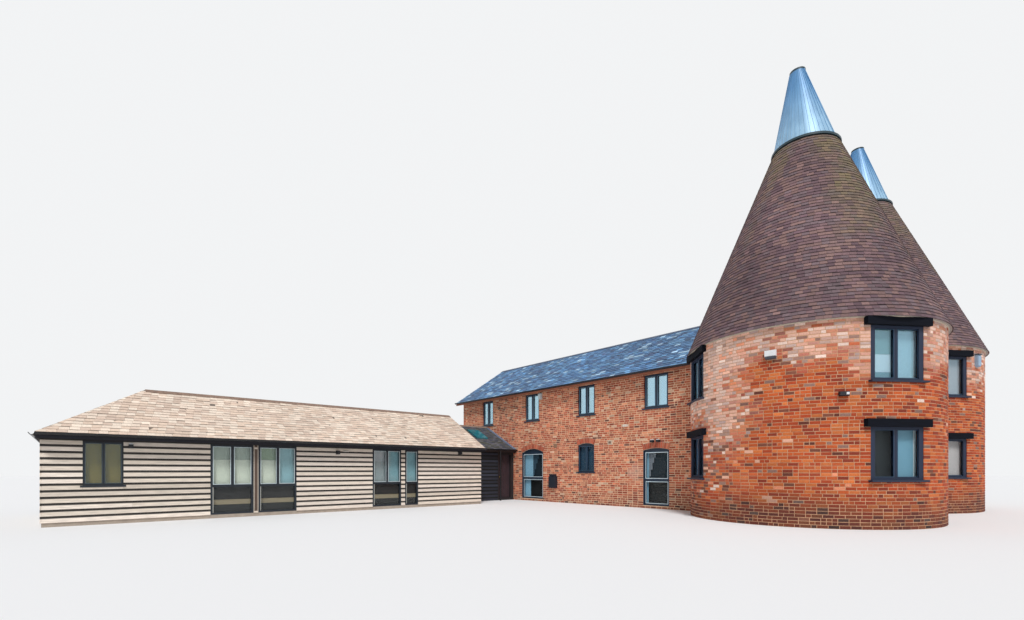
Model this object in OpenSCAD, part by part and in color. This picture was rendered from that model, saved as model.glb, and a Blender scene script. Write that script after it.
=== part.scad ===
// Kentish oast house: a brick stowage range with two round kilns at its right
// end, and a low boarded wing joined to its front by an entrance lobby.
// Millimetres, +Z up, +Y away from the courtyard. The ground is z = 0.

/* [Brick range] */
// Length of the range along its front wall
range_len = 13030; // [12000:10:14000]
// Depth of the range from front to back
range_w = 5800; // [5400:10:6200]
// Thickness of its brick walls
range_wall = 230; // [200:5:300]
// Height of the slates at the eaves edge
range_eaves_z = 4835; // [4750:5:5200]
// Rise of the roof from the eaves edge to the ridge
range_roof_rise = 2065; // [1700:5:2500]
// How far the slates pass the wall face
range_eaves_out = 260; // [200:5:350]
// How far the slates pass the gable
range_verge = 280; // [150:5:400]

/* [Round kilns] */
// Space between the range's end and the near kiln's wall
kiln_stand = 5; // [5:5:150]
// Centre of the near kiln behind the front wall
near_y = 390; // [300:10:500]
// Outer radius of the near kiln
near_r = 3085; // [3000:5:3090]
// Height of the near kiln's wall
near_wall_h = 4800; // [4700:5:5000]
// Offset of the far kiln from the near one, along the range
far_dx = -230; // [-300:10:-200]
// Space between the two kilns' walls, where they stand nearest
kiln_space = 140; // [140:5:400]
// Outer radius of the far kiln
far_r = 3310; // [3100:5:3320]
// Height of the far kiln's wall
far_wall_h = 5200; // [5100:5:5300]
// Thickness of the kiln walls, a brick and a half
kiln_wall = 342; // [300:1:400]
// How far the tiles pass the kiln wall
kiln_eaves_out = 115; // [90:5:130]
// Height of the near kiln's tiled cone
near_cone_h = 5590; // [5200:10:6000]
// Height of the far kiln's tiled cone
far_cone_h = 5780; // [5200:10:6000]
// Outer radius where a cone meets its cowl
cone_top_r = 860; // [780:5:950]
// Thickness of the tiled roof, measured level
cone_t = 220; // [180:5:240]
// Height of the metal cowls
cowl_h = 2360; // [2000:10:2600]
// Outer radius of a cowl's top
cowl_top_r = 190; // [150:5:240]
// Thickness of the cowl's sheet with its frame
cowl_t = 25; // [15:1:40]
// Lean of the cowls, away from their openings, in degrees
cowl_lean = 5; // [0:0.5:7]
// Direction in which the cowls' openings face
cowl_a = 37; // [-180:1:180]
// Half the part of the cowl's circle that is open, in degrees
cowl_open_a = 52; // [30:1:60]
// Height of the rims at a cowl's foot and top
cowl_rim_h = 60; // [40:1:90]
// How far the rims stand out
cowl_rim_out = 15; // [8:1:25]
// Width of the boards along a cowl's opening
cowl_board_w = 90; // [60:1:120]

/* [Kiln windows] */
// Width of the kiln windows
kiln_win_w = 1330; // [1100:10:1400]
// Height of the lower kiln windows
kiln_low_h = 1200; // [1000:10:1210]
// Height of the upper kiln windows
kiln_high_h = 1240; // [1000:10:1240]
// Height of the lower window's foot
kiln_low_z = 1120; // [1000:10:1200]
// Height of the upper window's foot
near_high_z = 3370; // [3200:10:3370]
// Sill height of the far kiln's upper windows
far_high_z = 3640; // [3300:10:3650]
// Direction in which the right-hand windows face
kiln_right_a = -34.5; // [-40:0.5:-30]
// Direction in which the near kiln's left-hand windows face
kiln_left_a = -136; // [-140:0.5:-130]
// Direction in which the far kiln's rear windows face
kiln_rear_a = 120; // [110:0.5:130]
// Depth of the timber lintels
lintel_h = 180; // [150:5:180]
// How far a lintel passes the window on each side
lintel_end = 140; // [120:5:240]
// How far the middle of a lintel stands proud of the round wall
lintel_out = 20; // [10:1:40]

/* [Boarded wing] */
// Left end of the wing, from the range's front wall
wing_far_y = -15930; // [-16500:10:-15500]
// Right end of the wing, from the range's front wall
wing_near_y = -3000; // [-3300:10:-2900]
// Back of the wing, from the range's left end
wing_back_x = 840; // [700:10:900]
// Courtyard face of the wing, from the range's left end
wing_front_x = 5360; // [5200:10:5500]
// Thickness of the boarded walls
wing_wall = 200; // [150:5:240]
// Height of the plinth and floor
plinth_h = 100; // [80:5:130]
// Height of the slates at the wing's eaves edge
wing_eaves_z = 2220; // [2200:5:2400]
// Rise of the wing's roof
wing_roof_rise = 1490; // [1300:5:1650]
// How far the wing's slates pass the wall
wing_eaves_out = 300; // [200:5:350]
// How far the hipped end's eaves stand out
wing_end_out = 100; // [60:5:200]
// Run of the hip from the eaves edge to the ridge
hip_run = 2280; // [2000:10:2800]

/* [Entrance lobby] */
// Position of the lobby's ridge, from the range's left end
lobby_ridge_x = 1970; // [1950:10:2000]
// Half width of the lobby over its walls
lobby_half = 1970; // [1800:10:1970]
// Thickness of the lobby walls
lobby_wall = 150; // [120:5:180]
// Height of the lobby's tiles at the eaves edge
lobby_eaves_z = 2290; // [2280:5:2400]
// Rise of the lobby's roof
lobby_roof_rise = 1170; // [1000:5:1175]
// How far the lobby's tiles pass the wall
lobby_eaves_out = 190; // [120:5:220]
// Width of the metal flashing where the lobby's tiles meet the brick wall
flashing_w = 150; // [50:5:180]
// Thickness of the flashing with its fillet
flashing_t = 28; // [15:1:40]
// Radius of the rainwater pipe beside the door
pipe_r = 34; // [30:1:40]

/* [Front door] */
// Width of the door opening
door_w = 850; // [800:10:900]
// Height of the door opening
door_h = 2020; // [1900:10:2020]
// Brickwork pier or post between the range wall and the door opening
door_side = 100; // [80:5:150]
// Thickness of the door leaf
leaf_t = 44; // [38:1:50]
// Width of the door frame's timber
jamb = 60; // [45:1:75]
// Clearance round the leaf
leaf_gap = 6; // [6:0.5:8]
// Width of the stop that the leaf shuts against
door_stop = 15; // [10:1:20]
// Radius of a hinge's barrel
barrel_r = 8; // [7:0.5:10]
// Radius of a hinge's pin
pin_r = 4; // [3:0.5:5]
// Length of one of the three parts of a hinge
barrel_len = 30; // [20:1:40]
// Width of a board of the door
leaf_board = 140; // [100:1:180]
// Radius of the knob
knob_r = 32; // [25:1:40]
// Height of the knob over the floor
knob_up = 950; // [900:10:1050]
// Distance of the knob from the leaf's edge
knob_in = 90; // [70:1:120]

/* [Windows] */
// Width of a window frame's outer member
frame_w = 55; // [45:1:70]
// Depth of a window frame
frame_d = 70; // [60:1:90]
// Width of a bar between two lights
mullion = 70; // [50:1:100]
// Width of a casement's own rail
sash_w = 32; // [25:1:45]
// How far a casement stands proud of its frame
sash_proud = 12; // [8:1:20]
// Thickness of the glazing
glass_t = 24; // [16:1:28]
// Depth of the frames behind the brick face of the range
range_reveal = 60; // [40:5:100]
// Depth of the frames behind the kiln's face at the middle of a window
kiln_reveal = 130; // [110:5:160]
// Thickness of a window's sill board
sill_t = 45; // [35:1:60]
// How far a sill stands out from the wall
sill_out = 35; // [20:1:60]
// How far a sill passes the opening on each side
sill_horn = 50; // [30:1:80]

/* [Window places] */
// Middles of the range's upper windows, as shares of its length
range_high_at = [0.1554, 0.39754, 0.63699, 0.88028];
// Widths of the range's upper windows
range_high_w = [830, 900, 880, 980];
// Height of the range's upper windows
range_high_h = 1180; // [1000:10:1200]
// Height of their feet
range_high_z = 3540; // [3500:10:3560]
// Middles of the tall ground-floor windows, as shares of the length
range_tall_at = [0.39946, 0.88104];
// Widths of the tall windows
range_tall_w = [1350, 1040];
// Heights of the tall windows to the crown of the arch
range_tall_h = [2190, 2020];
// Rises of their arches
range_tall_rise = [160, 70];
// Middle of the small ground-floor window, as a share of the length
range_low_at = 0.63584; // [0.62:0.001:0.65]
// Middles of the small windows at the back, as shares of the length
range_low_back_at = [0.27629, 0.63584];
// Width of the small windows
range_low_w = 860; // [700:10:900]
// Height of the small windows
range_low_h = 1140; // [1000:10:1160]
// Height of their feet
range_low_z = 1280; // [1250:10:1350]
// Rise of their arches
range_low_rise = 80; // [60:5:120]
// Height of the rail in windows that reach the floor
rail_z = 900; // [800:10:1000]
// Middles of the wing's floor-length windows, from its right end
wing_tall_at = [8930, 7705, 4110, 3145];
// Widths of these windows
wing_tall_w = [1100, 1090, 1090, 540];
// Height of these windows
wing_tall_h = 1970; // [1850:10:2000]
// Height of the rail in these windows
wing_rail_z = 800; // [700:10:860]
// Middle of the wing's small front window, from its right end
wing_small_at = 11795; // [11750:5:11850]
// Middles of the wing's small back windows, from its right end
wing_back_at = [10600, 7000, 3400];
// Width of the wing's small windows
wing_small_w = 790; // [600:10:850]
// Height of the wing's small windows
wing_small_h = 1080; // [1000:10:1150]
// Height of their feet
wing_small_z = 970; // [900:10:1000]

/* [Rooflight] */
// Distance of the rooflight from the lobby's ridge, measured level
light_from = 500; // [400:10:600]
// Length of the rooflight down the slope, measured level
light_run = 760; // [600:10:900]
// Width of the rooflight
light_w = 620; // [500:10:800]
// Middle of the rooflight from the brick wall
light_at = 1250; // [1100:10:1700]
// Height of the rooflight over the tiles
light_up = 60; // [40:5:90]

/* [Roof finishes] */
// Thickness of a slated or tiled slope
slope_t = 120; // [100:5:150]
// Length of a ridge tile
ridge_len = 450; // [300:10:600]
// Width of one wing of a ridge tile
ridge_wing = 170; // [140:5:200]
// Thickness of a ridge tile
ridge_t = 22; // [16:1:30]
// Width of a gutter
gutter_w = 112; // [90:1:125]
// Thickness of a gutter's wall
gutter_t = 8; // [6:1:12]

/* [Floors] */
// Height of the ground floor
ground_floor_z = 100; // [80:5:120]
// Height of the upper floor
upper_floor_z = 2750; // [2650:10:2850]
// Thickness of the upper floor
upper_floor_t = 220; // [180:5:260]

/* [Hidden] */
$fn = 360;
// Clearance at seats on curved faces, and joint between like pieces of one node
seat = 0.3;
joint = 0.5;
// Clearance between a roof slope and what bears it or lies on it
rest = 0.05;
// Overshoot of cutting tools
cut = 10;
// Joint between ridge tiles
ridge_gap = 4;
// Depth of the ring of bricks over an arched opening, a brick on end
arch_depth = 225;
// Depth of the grooves between the boards of the door
groove = 8;

range_slope = range_roof_rise / (range_w / 2 + range_eaves_out);
range_tv = slope_t * sqrt(1 + range_slope * range_slope);
wing_half = (wing_front_x - wing_back_x) / 2;
wing_ridge_x = (wing_front_x + wing_back_x) / 2;
wing_slope = wing_roof_rise / (wing_half + wing_eaves_out);
wing_tv = slope_t * sqrt(1 + wing_slope * wing_slope);
lobby_slope = lobby_roof_rise / (lobby_half + lobby_eaves_out);
lobby_tv = slope_t * sqrt(1 + lobby_slope * lobby_slope);

near_x = range_len + near_r + kiln_stand;
near = [near_x, near_y];
far = [near_x + far_dx, near_y + near_r + far_r + kiln_space];
near_eaves_r = near_r + kiln_eaves_out;
far_eaves_r = far_r + kiln_eaves_out;

// The middle of the whole house in plan, which is the origin
mid_x = (near_x + near_eaves_r - range_verge) / 2;
mid_y = (far[1] + far_eaves_r + wing_far_y - wing_end_out - gutter_w) / 2;

// Openings: [place of the foot's middle on the wall face, facing, width, height
// to the crown, rise of the arch, lights, height of the lower pane or 0]
function range_upper(y, a) = [for (i = [0:3])
    [[range_high_at[i] * range_len, y, range_high_z], a, range_high_w[i], range_high_h, 0, 2, 0]];
function range_small(share, y, a) =
    [[share * range_len, y, range_low_z], a, range_low_w, range_low_h, range_low_rise, 2, 0];
range_tall = [for (i = [0, 1])
    [[range_tall_at[i] * range_len, 0, ground_floor_z], -90, range_tall_w[i], range_tall_h[i],
        range_tall_rise[i], 1, rail_z]];
range_front = concat(range_upper(0, -90), range_tall, [range_small(range_low_at, 0, -90)]);
range_back = concat(range_upper(range_w, 90),
    [for (share = range_low_back_at) range_small(share, range_w, 90)]);
range_arched = [for (w = concat(range_front, range_back)) if (w[4] > 0) w];

function kiln_window(c, r, a, z, h) =
    [[c[0] + r * cos(a), c[1] + r * sin(a), z], a, kiln_win_w, h, 0, 2, 0];
function kiln_windows(c, r, high_z, second_a) = [
    for (a = [kiln_right_a, second_a])
        each [kiln_window(c, r, a, kiln_low_z, kiln_low_h),
              kiln_window(c, r, a, high_z, kiln_high_h)]];
near_windows = kiln_windows(near, near_r, near_high_z, kiln_left_a);
far_windows = kiln_windows(far, far_r, far_high_z, kiln_rear_a);
kiln_windows_all = concat(near_windows, far_windows);

function wing_small(x, from_end, a) =
    [[x, wing_near_y - from_end, wing_small_z], a, wing_small_w, wing_small_h, 0, 2, 0];
wing_front_windows = concat([wing_small(wing_front_x, wing_small_at, 0)], [for (i = [0:3])
    [[wing_front_x, wing_near_y - wing_tall_at[i], plinth_h], 0, wing_tall_w[i], wing_tall_h, 0,
        i < 3 ? 2 : 1, wing_rail_z]]);
wing_back_windows = [for (d = wing_back_at) wing_small(wing_back_x, d, 180)];
wing_windows = concat(wing_front_windows, wing_back_windows);

// Moves the whole house so that its middle stands on the origin
module house() { translate([-mid_x, -mid_y, 0]) children(); }

// Extrudes an outline drawn in Y and Z along X
module along_x(x0, length) {
    translate([x0, 0, 0]) rotate([90, 0, 90]) linear_extrude(length) children();
}

// Extrudes an outline drawn in X and Z along Y
module along_y(y0, length) {
    translate([0, y0 + length, 0]) rotate([90, 0, 0]) linear_extrude(length) children();
}

// Stands a drawing on a wall face: its X runs right, its Y up and its Z outwards
module facing(at, a) {
    translate(at) rotate([0, 0, a + 90]) rotate([90, 0, 0]) children();
}

function arch_r(w, rise) = (w * w / 4 + rise * rise) / (2 * rise);

// Outline of an opening with a flat or a segmental head
module opening_outline(w, h, rise) {
    if (rise == 0) {
        translate([-w / 2, 0]) square([w, h]);
    } else {
        translate([-w / 2, 0]) square([w, h - rise]);
        intersection() {
            translate([0, h - arch_r(w, rise)]) circle(r = arch_r(w, rise));
            translate([-w / 2, h / 2]) square([w, h / 2]);
        }
    }
}

// Outline of a slice of a circle over a segmental head, as wide as the opening
module arch_slice(w, h, rise, depth) {
    r = arch_r(w, rise);
    half = asin(w / 2 / r);
    reach = 2 * (r + arch_depth);
    translate([0, h - r]) intersection() {
        circle(r = r + depth);
        polygon([[0, 0], [-reach * sin(half), reach * cos(half)],
            [reach * sin(half), reach * cos(half)]]);
        translate([-reach, r - rise - 1]) square([2 * reach, reach]);
    }
}

// Outline of the ring of bricks on edge over a segmental head
module arch_outline(w, h, rise) {
    difference() {
        arch_slice(w, h, rise, arch_depth);
        translate([0, h - arch_r(w, rise)]) circle(r = arch_r(w, rise));
    }
}

// Outline of the hole that a wall needs for an opening and the arch over it
module hole_outline(w, h, rise) {
    translate([-w / 2, 0]) square([w, h - rise]);
    if (rise > 0) arch_slice(w, h, rise, arch_depth);
}

// The sill board's place under an opening
module sill_block(w, reveal) {
    translate([-w / 2 - sill_horn, -sill_t, -reveal - frame_d])
        cube([w + 2 * sill_horn, sill_t, reveal + frame_d + sill_out]);
}

// Takes a list of openings out of a wall
module cut_openings(list, thick, reveal) {
    for (w = list) facing(w[0], w[1]) {
        translate([0, 0, -thick - cut]) linear_extrude(thick + 2 * cut)
            hole_outline(w[2], w[3], w[4]);
        if (w[6] == 0) sill_block(w[2], reveal);
    }
}

function pane_w(w) = (w[2] - 2 * frame_w - (w[5] - 1) * mullion) / w[5];
function pane_foot(w) = w[6] == 0 ? frame_w : w[6] + mullion / 2;
// Panes side by side over the rail or the sill: [left, foot, width, height]
function casements(w) = [for (i = [0:w[5] - 1]) [-w[2] / 2 + frame_w + i * (pane_w(w) + mullion),
    pane_foot(w), pane_w(w), w[3] - w[4] - frame_w - pane_foot(w)]];
// The one wide pane under the rail of a window that reaches the floor
function low_panes(w) = w[6] == 0 ? []
    : [[-w[2] / 2 + frame_w, frame_w, w[2] - 2 * frame_w, w[6] - frame_w - mullion / 2]];
function all_panes(w) = concat(casements(w), low_panes(w));

// Draws a list of panes, wider by grow on every side
module panes(list, grow) {
    for (p = list) translate([p[0] - grow, p[1] - grow]) square([p[2] + 2 * grow, p[3] + 2 * grow]);
}

// Frames with their casements and sills
module frames(list, reveal) {
    for (w = list) facing(w[0], w[1]) {
        translate([0, 0, -reveal - frame_d]) {
            linear_extrude(frame_d) difference() {
                opening_outline(w[2], w[3], w[4]);
                panes(all_panes(w), 0);
            }
            linear_extrude(frame_d + sash_proud) difference() {
                panes(casements(w), sash_w);
                panes(casements(w), 0);
            }
        }
        if (w[6] == 0) sill_block(w[2], reveal);
    }
}

// The glazing in the middle of each frame's depth
module glazing(list, reveal) {
    for (w = list) facing(w[0], w[1])
        translate([0, 0, -reveal - frame_d / 2 - glass_t / 2])
            linear_extrude(glass_t) panes(all_panes(w), 0);
}

// Lengths of the whole roof between two ends, as one row of ridge tiles along X
module ridge_tiles(x0, x1, top_z, slope) {
    n = round((x1 - x0) / ridge_len);
    pitch = (x1 - x0) / n;
    for (i = [0:n - 1]) along_x(x0 + i * pitch + ridge_gap / 2, pitch - ridge_gap)
        ridge_outline(top_z, slope);
}

// An angled ridge tile seen from its end, its underside resting on the slopes
module ridge_outline(top_z, slope) {
    run = ridge_wing / sqrt(1 + slope * slope);
    rise = ridge_t * sqrt(1 + slope * slope);
    polygon([[0, top_z + rise], [run, top_z + rise - run * slope], [run, top_z - run * slope],
        [0, top_z], [-run, top_z - run * slope], [-run, top_z + rise - run * slope]]);
}

// Solid taken up by a kiln and its roof, for what is built against it
module kiln_body(c, r, wall_h, cone_h) {
    translate([c[0], c[1], 0]) {
        translate([0, 0, -cut]) cylinder(r = r + seat, h = wall_h + cut);
        translate([0, 0, wall_h - seat])
            cylinder(r1 = r + kiln_eaves_out + seat, r2 = cone_top_r + seat, h = cone_h + seat);
    }
}

module kilns() {
    kiln_body(near, near_r, near_wall_h, near_cone_h);
    kiln_body(far, far_r, far_wall_h, far_cone_h);
}

function range_soffit(y) = range_eaves_z - range_tv + (min(y, range_w - y) + range_eaves_out) * range_slope;
function range_under(y) = range_soffit(y) - rest;

// Front or back wall, cut off under the slates
module range_long_wall(back) {
    along_x(0, range_len + 2 * cut) translate([back ? range_w : 0, 0]) mirror([back ? 1 : 0, 0])
        polygon([[0, 0], [range_wall, 0], [range_wall, range_under(range_wall)], [0, range_under(0)]]);
}

module range_front_wall() {
    color("indianred") house() difference() {
        range_long_wall(false);
        cut_openings(range_front, range_wall, range_reveal);
        kilns();
    }
}

module range_back_wall() {
    color("indianred") house() difference() {
        range_long_wall(true);
        cut_openings(range_back, range_wall, range_reveal);
        kilns();
    }
}

module range_gable(x0) {
    along_x(x0, range_wall) polygon([[range_wall, 0], [range_w - range_wall, 0],
        [range_w - range_wall, range_under(range_wall)], [range_w / 2, range_under(range_w / 2)],
        [range_wall, range_under(range_wall)]]);
}

module range_left_gable() {
    color("indianred") house() range_gable(0);
}

module range_right_gable() {
    color("indianred") house() difference() {
        range_gable(range_len - range_wall);
        kilns();
    }
}

module range_roof() {
    color("slategray") house() difference() {
        for (side = [0, 1]) translate([0, side * range_w, 0]) mirror([0, side, 0])
            along_x(-range_verge, range_len + 2 * range_verge) polygon([
                [-range_eaves_out, range_eaves_z],
                [range_w / 2 - joint / 2, range_soffit(range_w / 2 - joint / 2) + range_tv],
                [range_w / 2 - joint / 2, range_soffit(range_w / 2 - joint / 2)],
                [-range_eaves_out, range_eaves_z - range_tv]]);
        kilns();
    }
}

module range_ridge_tiles() {
    color("dimgray") house() translate([0, range_w / 2, 0])
        ridge_tiles(-range_verge, range_len + range_verge, range_eaves_z + range_roof_rise + rest,
            range_slope);
}

// Half-round gutter seen from its end, its back against x = 0 and its lip at y = 0
module gutter_outline() {
    r = gutter_w / 2;
    translate([r, 0]) difference() {
        circle(r = r);
        circle(r = r - gutter_t);
        translate([-r - cut, 0]) square([gutter_w + 2 * cut, r + cut]);
    }
}

module range_gutters() {
    color("black") house() difference() {
        for (side = [0, 1]) translate([0, side * range_w, 0]) mirror([0, side, 0])
            along_x(-range_verge, range_len + range_verge)
                translate([-range_eaves_out, range_eaves_z - gutter_t]) mirror([1, 0]) gutter_outline();
        kilns();
    }
}

module range_arches() {
    color("firebrick") house() for (w = range_arched) facing(w[0], w[1])
        translate([0, 0, -range_wall]) linear_extrude(range_wall) arch_outline(w[2], w[3], w[4]);
}

module range_window_frames() {
    color("darkslategray") house() frames(concat(range_front, range_back), range_reveal);
}

module range_glass() {
    color("lightblue") house() glazing(concat(range_front, range_back), range_reveal);
}

module ground_floors() {
    color("tan") house() {
        difference() {
            translate([range_wall, range_wall, 0])
                cube([range_len - 2 * range_wall, range_w - 2 * range_wall, ground_floor_z]);
            kilns();
        }
        translate([near[0], near[1], 0]) cylinder(r = near_r - kiln_wall - seat, h = ground_floor_z);
        translate([far[0], far[1], 0]) cylinder(r = far_r - kiln_wall - seat, h = ground_floor_z);
    }
}

module upper_floors() {
    color("burlywood") house() translate([0, 0, upper_floor_z - upper_floor_t]) {
        difference() {
            translate([range_wall, range_wall, 0])
                cube([range_len - 2 * range_wall, range_w - 2 * range_wall, upper_floor_t]);
            translate([0, 0, -upper_floor_z]) kilns();
        }
        translate([near[0], near[1], 0]) cylinder(r = near_r - kiln_wall - seat, h = upper_floor_t);
        translate([far[0], far[1], 0]) cylinder(r = far_r - kiln_wall - seat, h = upper_floor_t);
    }
}

// The straight timber over a kiln window, a little proud of the round wall
module lintel_block(w) {
    facing(w[0], w[1]) translate([-w[2] / 2 - lintel_end, w[3], -kiln_wall + cut])
        cube([w[2] + 2 * lintel_end, lintel_h, kiln_wall - cut + lintel_out]);
}

// The joint between two stretches of round wall, in degrees
wall_joint_a = joint / (near_r - kiln_wall) * 180 / PI;

// A stretch of round wall between two directions, with the windows cut through
module kiln_wall_part(c, r, h, a0, a1, windows) {
    difference() {
        translate([c[0], c[1], 0]) rotate([0, 0, a0 + wall_joint_a]) rotate_extrude(angle = a1 - a0 - wall_joint_a)
            translate([r - kiln_wall, 0]) square([kiln_wall, h - seat]);
        cut_openings(windows, kiln_wall + cut, kiln_reveal);
        for (w = windows) lintel_block(w);
    }
}

module near_kiln_wall_right() {
    color("indianred") house() kiln_wall_part(near, near_r, near_wall_h, -85, 35, near_windows);
}

module near_kiln_wall_back() {
    color("indianred") house() kiln_wall_part(near, near_r, near_wall_h, 35, 155, near_windows);
}

module near_kiln_wall_left() {
    color("indianred") house() kiln_wall_part(near, near_r, near_wall_h, 155, 275, near_windows);
}

module far_kiln_wall_right() {
    color("indianred") house() kiln_wall_part(far, far_r, far_wall_h, -60, 60, far_windows);
}

module far_kiln_wall_back() {
    color("indianred") house() kiln_wall_part(far, far_r, far_wall_h, 60, 180, far_windows);
}

module far_kiln_wall_left() {
    color("indianred") house() kiln_wall_part(far, far_r, far_wall_h, 180, 300, far_windows);
}

// Tiled cone from the kiln wall up to the cowl
module kiln_roof(c, eaves_r, wall_h, cone_h) {
    translate([c[0], c[1], wall_h]) rotate_extrude() polygon([[eaves_r, 0], [cone_top_r, cone_h],
        [cone_top_r - cone_t, cone_h], [eaves_r - cone_t, 0]]);
}

module near_kiln_roof() {
    color("sienna") house() kiln_roof(near, near_eaves_r, near_wall_h, near_cone_h);
}

module far_kiln_roof() {
    color("sienna") house() kiln_roof(far, far_eaves_r, far_wall_h, far_cone_h);
}

cowl_foot_r = cone_top_r - cowl_rim_out;
cowl_taper = (cowl_foot_r - cowl_top_r) / cowl_h;

// A cone inside the cowl's face by inset, standing through both of its rims
module cowl_cone(inset) {
    translate([0, 0, -cowl_rim_h]) cylinder(r1 = cowl_foot_r + cowl_rim_h * cowl_taper - inset,
        r2 = cowl_top_r - inset, h = cowl_h + cowl_rim_h);
}

// Everything past the plane of a cowl's opening, moved outwards by shift
module cowl_past(shift) {
    share = cos(cowl_open_a);
    reach = 2 * cowl_foot_r;
    foot = (cowl_foot_r + cowl_rim_h * cowl_taper) * share + shift;
    along_y(-reach, 2 * reach) polygon([[foot, -cowl_rim_h], [cowl_top_r * share + shift, cowl_h],
        [reach, cowl_h], [reach, -cowl_rim_h]]);
}

// Leaning sheet cone with its opening, boards along the opening and a cap
module cowl_shell() {
    rotate([0, 0, cowl_a]) rotate([0, -cowl_lean, 0]) {
        difference() {
            cowl_cone(0);
            cowl_cone(cowl_t);
            cowl_past(0);
        }
        intersection() {
            difference() {
                cowl_cone(-cowl_rim_out);
                cowl_cone(cowl_board_w);
            }
            difference() {
                cowl_past(-cowl_t);
                cowl_past(0);
            }
        }
        translate([0, 0, cowl_h - cowl_rim_h]) cylinder(r = cowl_top_r + cowl_rim_out, h = cowl_rim_h);
    }
}

// Cowl on its upright curb ring
module cowl(c, foot_z) {
    translate([c[0], c[1], foot_z]) {
        difference() {
            cylinder(r = cone_top_r + cowl_rim_out, h = cowl_rim_h);
            translate([0, 0, -cut]) cylinder(r = cone_top_r - cone_t / 2, h = cowl_rim_h + 2 * cut);
        }
        difference() {
            cowl_shell();
            translate([0, 0, -cone_top_r]) cylinder(r = 2 * cone_top_r, h = cone_top_r + cut);
        }
    }
}

module near_cowl() { color("lightsteelblue") house() cowl(near, near_wall_h + near_cone_h); }

module far_cowl() { color("lightsteelblue") house() cowl(far, far_wall_h + far_cone_h); }

module kiln_lintels() {
    color("black") house() for (w = kiln_windows_all) lintel_block(w);
}

module kiln_window_frames() {
    color("darkslategray") house() frames(kiln_windows_all, kiln_reveal);
}

module kiln_glass() {
    color("lightblue") house() glazing(kiln_windows_all, kiln_reveal);
}

lobby_front_x = lobby_ridge_x + lobby_half;
lobby_back_x = lobby_ridge_x - lobby_half;
function lobby_under(d) = lobby_eaves_z - lobby_tv + (lobby_eaves_out + d) * lobby_slope - rest;
lobby_top = lobby_under(lobby_half);

module lobby_floor() {
    color("tan") house() translate([lobby_back_x + lobby_wall, wing_near_y + lobby_wall, 0])
        cube([2 * (lobby_half - lobby_wall), -wing_near_y - lobby_wall, ground_floor_z]);
}

// A side wall of the lobby, seen from its end
module lobby_wall_outline() {
    polygon([[0, 0], [lobby_wall, 0], [lobby_wall, lobby_under(lobby_wall)], [0, lobby_under(0)]]);
}

module lobby_side_wall() {
    color("saddlebrown") house() along_y(wing_near_y + lobby_wall, -wing_near_y - lobby_wall)
        translate([lobby_back_x, 0]) lobby_wall_outline();
}

module lobby_end_wall() {
    color("saddlebrown") house() along_y(wing_near_y, lobby_wall) polygon([
        [lobby_back_x, 0], [lobby_front_x, 0], [lobby_front_x, lobby_under(0)],
        [lobby_ridge_x, lobby_top], [lobby_back_x, lobby_under(0)]]);
}

door_y = -door_side - door_w;
// The courtyard wall of the lobby: a pier by the range and a panel beside the door
module lobby_front_wall() {
    color("saddlebrown") house() for (span = [[wing_near_y + lobby_wall, door_y], [-door_side, 0]])
        along_y(span[0], span[1] - span[0]) translate([lobby_front_x, 0]) mirror([1, 0])
            lobby_wall_outline();
}

module lobby_slope_outline() {
    top = lobby_eaves_z + lobby_roof_rise - lobby_slope * joint / 2;
    polygon([[joint / 2, top], [lobby_half + lobby_eaves_out, lobby_eaves_z],
        [lobby_half + lobby_eaves_out, lobby_eaves_z - lobby_tv], [joint / 2, top - lobby_tv]]);
}

// Block that stands on the courtyard slope, for the rooflight and its hole
module rooflight_block(inset, low, high) {
    function top(x) = lobby_eaves_z + lobby_roof_rise - x * lobby_slope;
    x0 = light_from + inset;
    x1 = light_from + light_run - inset;
    translate([lobby_ridge_x, 0, 0]) along_y(-light_at - light_w / 2 + inset, light_w - 2 * inset)
        polygon([[x0, top(x0) + high], [x1, top(x1) + high], [x1, top(x1) - low], [x0, top(x0) - low]]);
}

module lobby_roof() {
    color("saddlebrown") house() difference() {
        for (side = [0, 1]) translate([lobby_ridge_x, 0, 0]) mirror([side, 0, 0])
            along_y(wing_near_y, -wing_near_y) lobby_slope_outline();
        rooflight_block(0, lobby_tv + cut, cut);
    }
}

module lobby_rooflight() {
    color("darkslategray") house() rooflight_block(0, lobby_tv / 2, light_up);
}

module lobby_ridge_tiles() {
    color("sienna") house() translate([lobby_ridge_x, 0, 0]) rotate([0, 0, -90])
        ridge_tiles(0, -wing_near_y, lobby_eaves_z + lobby_roof_rise + rest, lobby_slope);
}

// Strip of metal up both slopes, against the brick wall
module lobby_flashing() {
    run = ridge_wing / sqrt(1 + lobby_slope * lobby_slope) + ridge_gap;
    end = lobby_half + lobby_eaves_out;
    rise = flashing_t * sqrt(1 + lobby_slope * lobby_slope);
    color("slategray") house() for (side = [0, 1]) translate([lobby_ridge_x, 0, 0]) mirror([side, 0, 0])
        along_y(-flashing_w, flashing_w) polygon([[run, lobby_eaves_z + (end - run) * lobby_slope],
            [run, lobby_eaves_z + (end - run) * lobby_slope + rise], [end, lobby_eaves_z + rise],
            [end, lobby_eaves_z]]);
}

// Gutters along the lobby's eaves, with the rainwater pipe beside the door
module lobby_gutters() {
    pipe_x = lobby_half + lobby_eaves_out + gutter_w / 2;
    color("black") house() translate([lobby_ridge_x, 0, 0]) {
        for (side = [0, 1]) mirror([side, 0, 0])
            along_y(wing_near_y + lobby_wall, -wing_near_y - lobby_wall)
                translate([lobby_half + lobby_eaves_out, lobby_eaves_z - gutter_t]) gutter_outline();
        translate([pipe_x, door_y - pipe_r, 0])
            cylinder(r = pipe_r, h = lobby_eaves_z - gutter_t - gutter_w / 2 + gutter_t / 2);
    }
}

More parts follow.
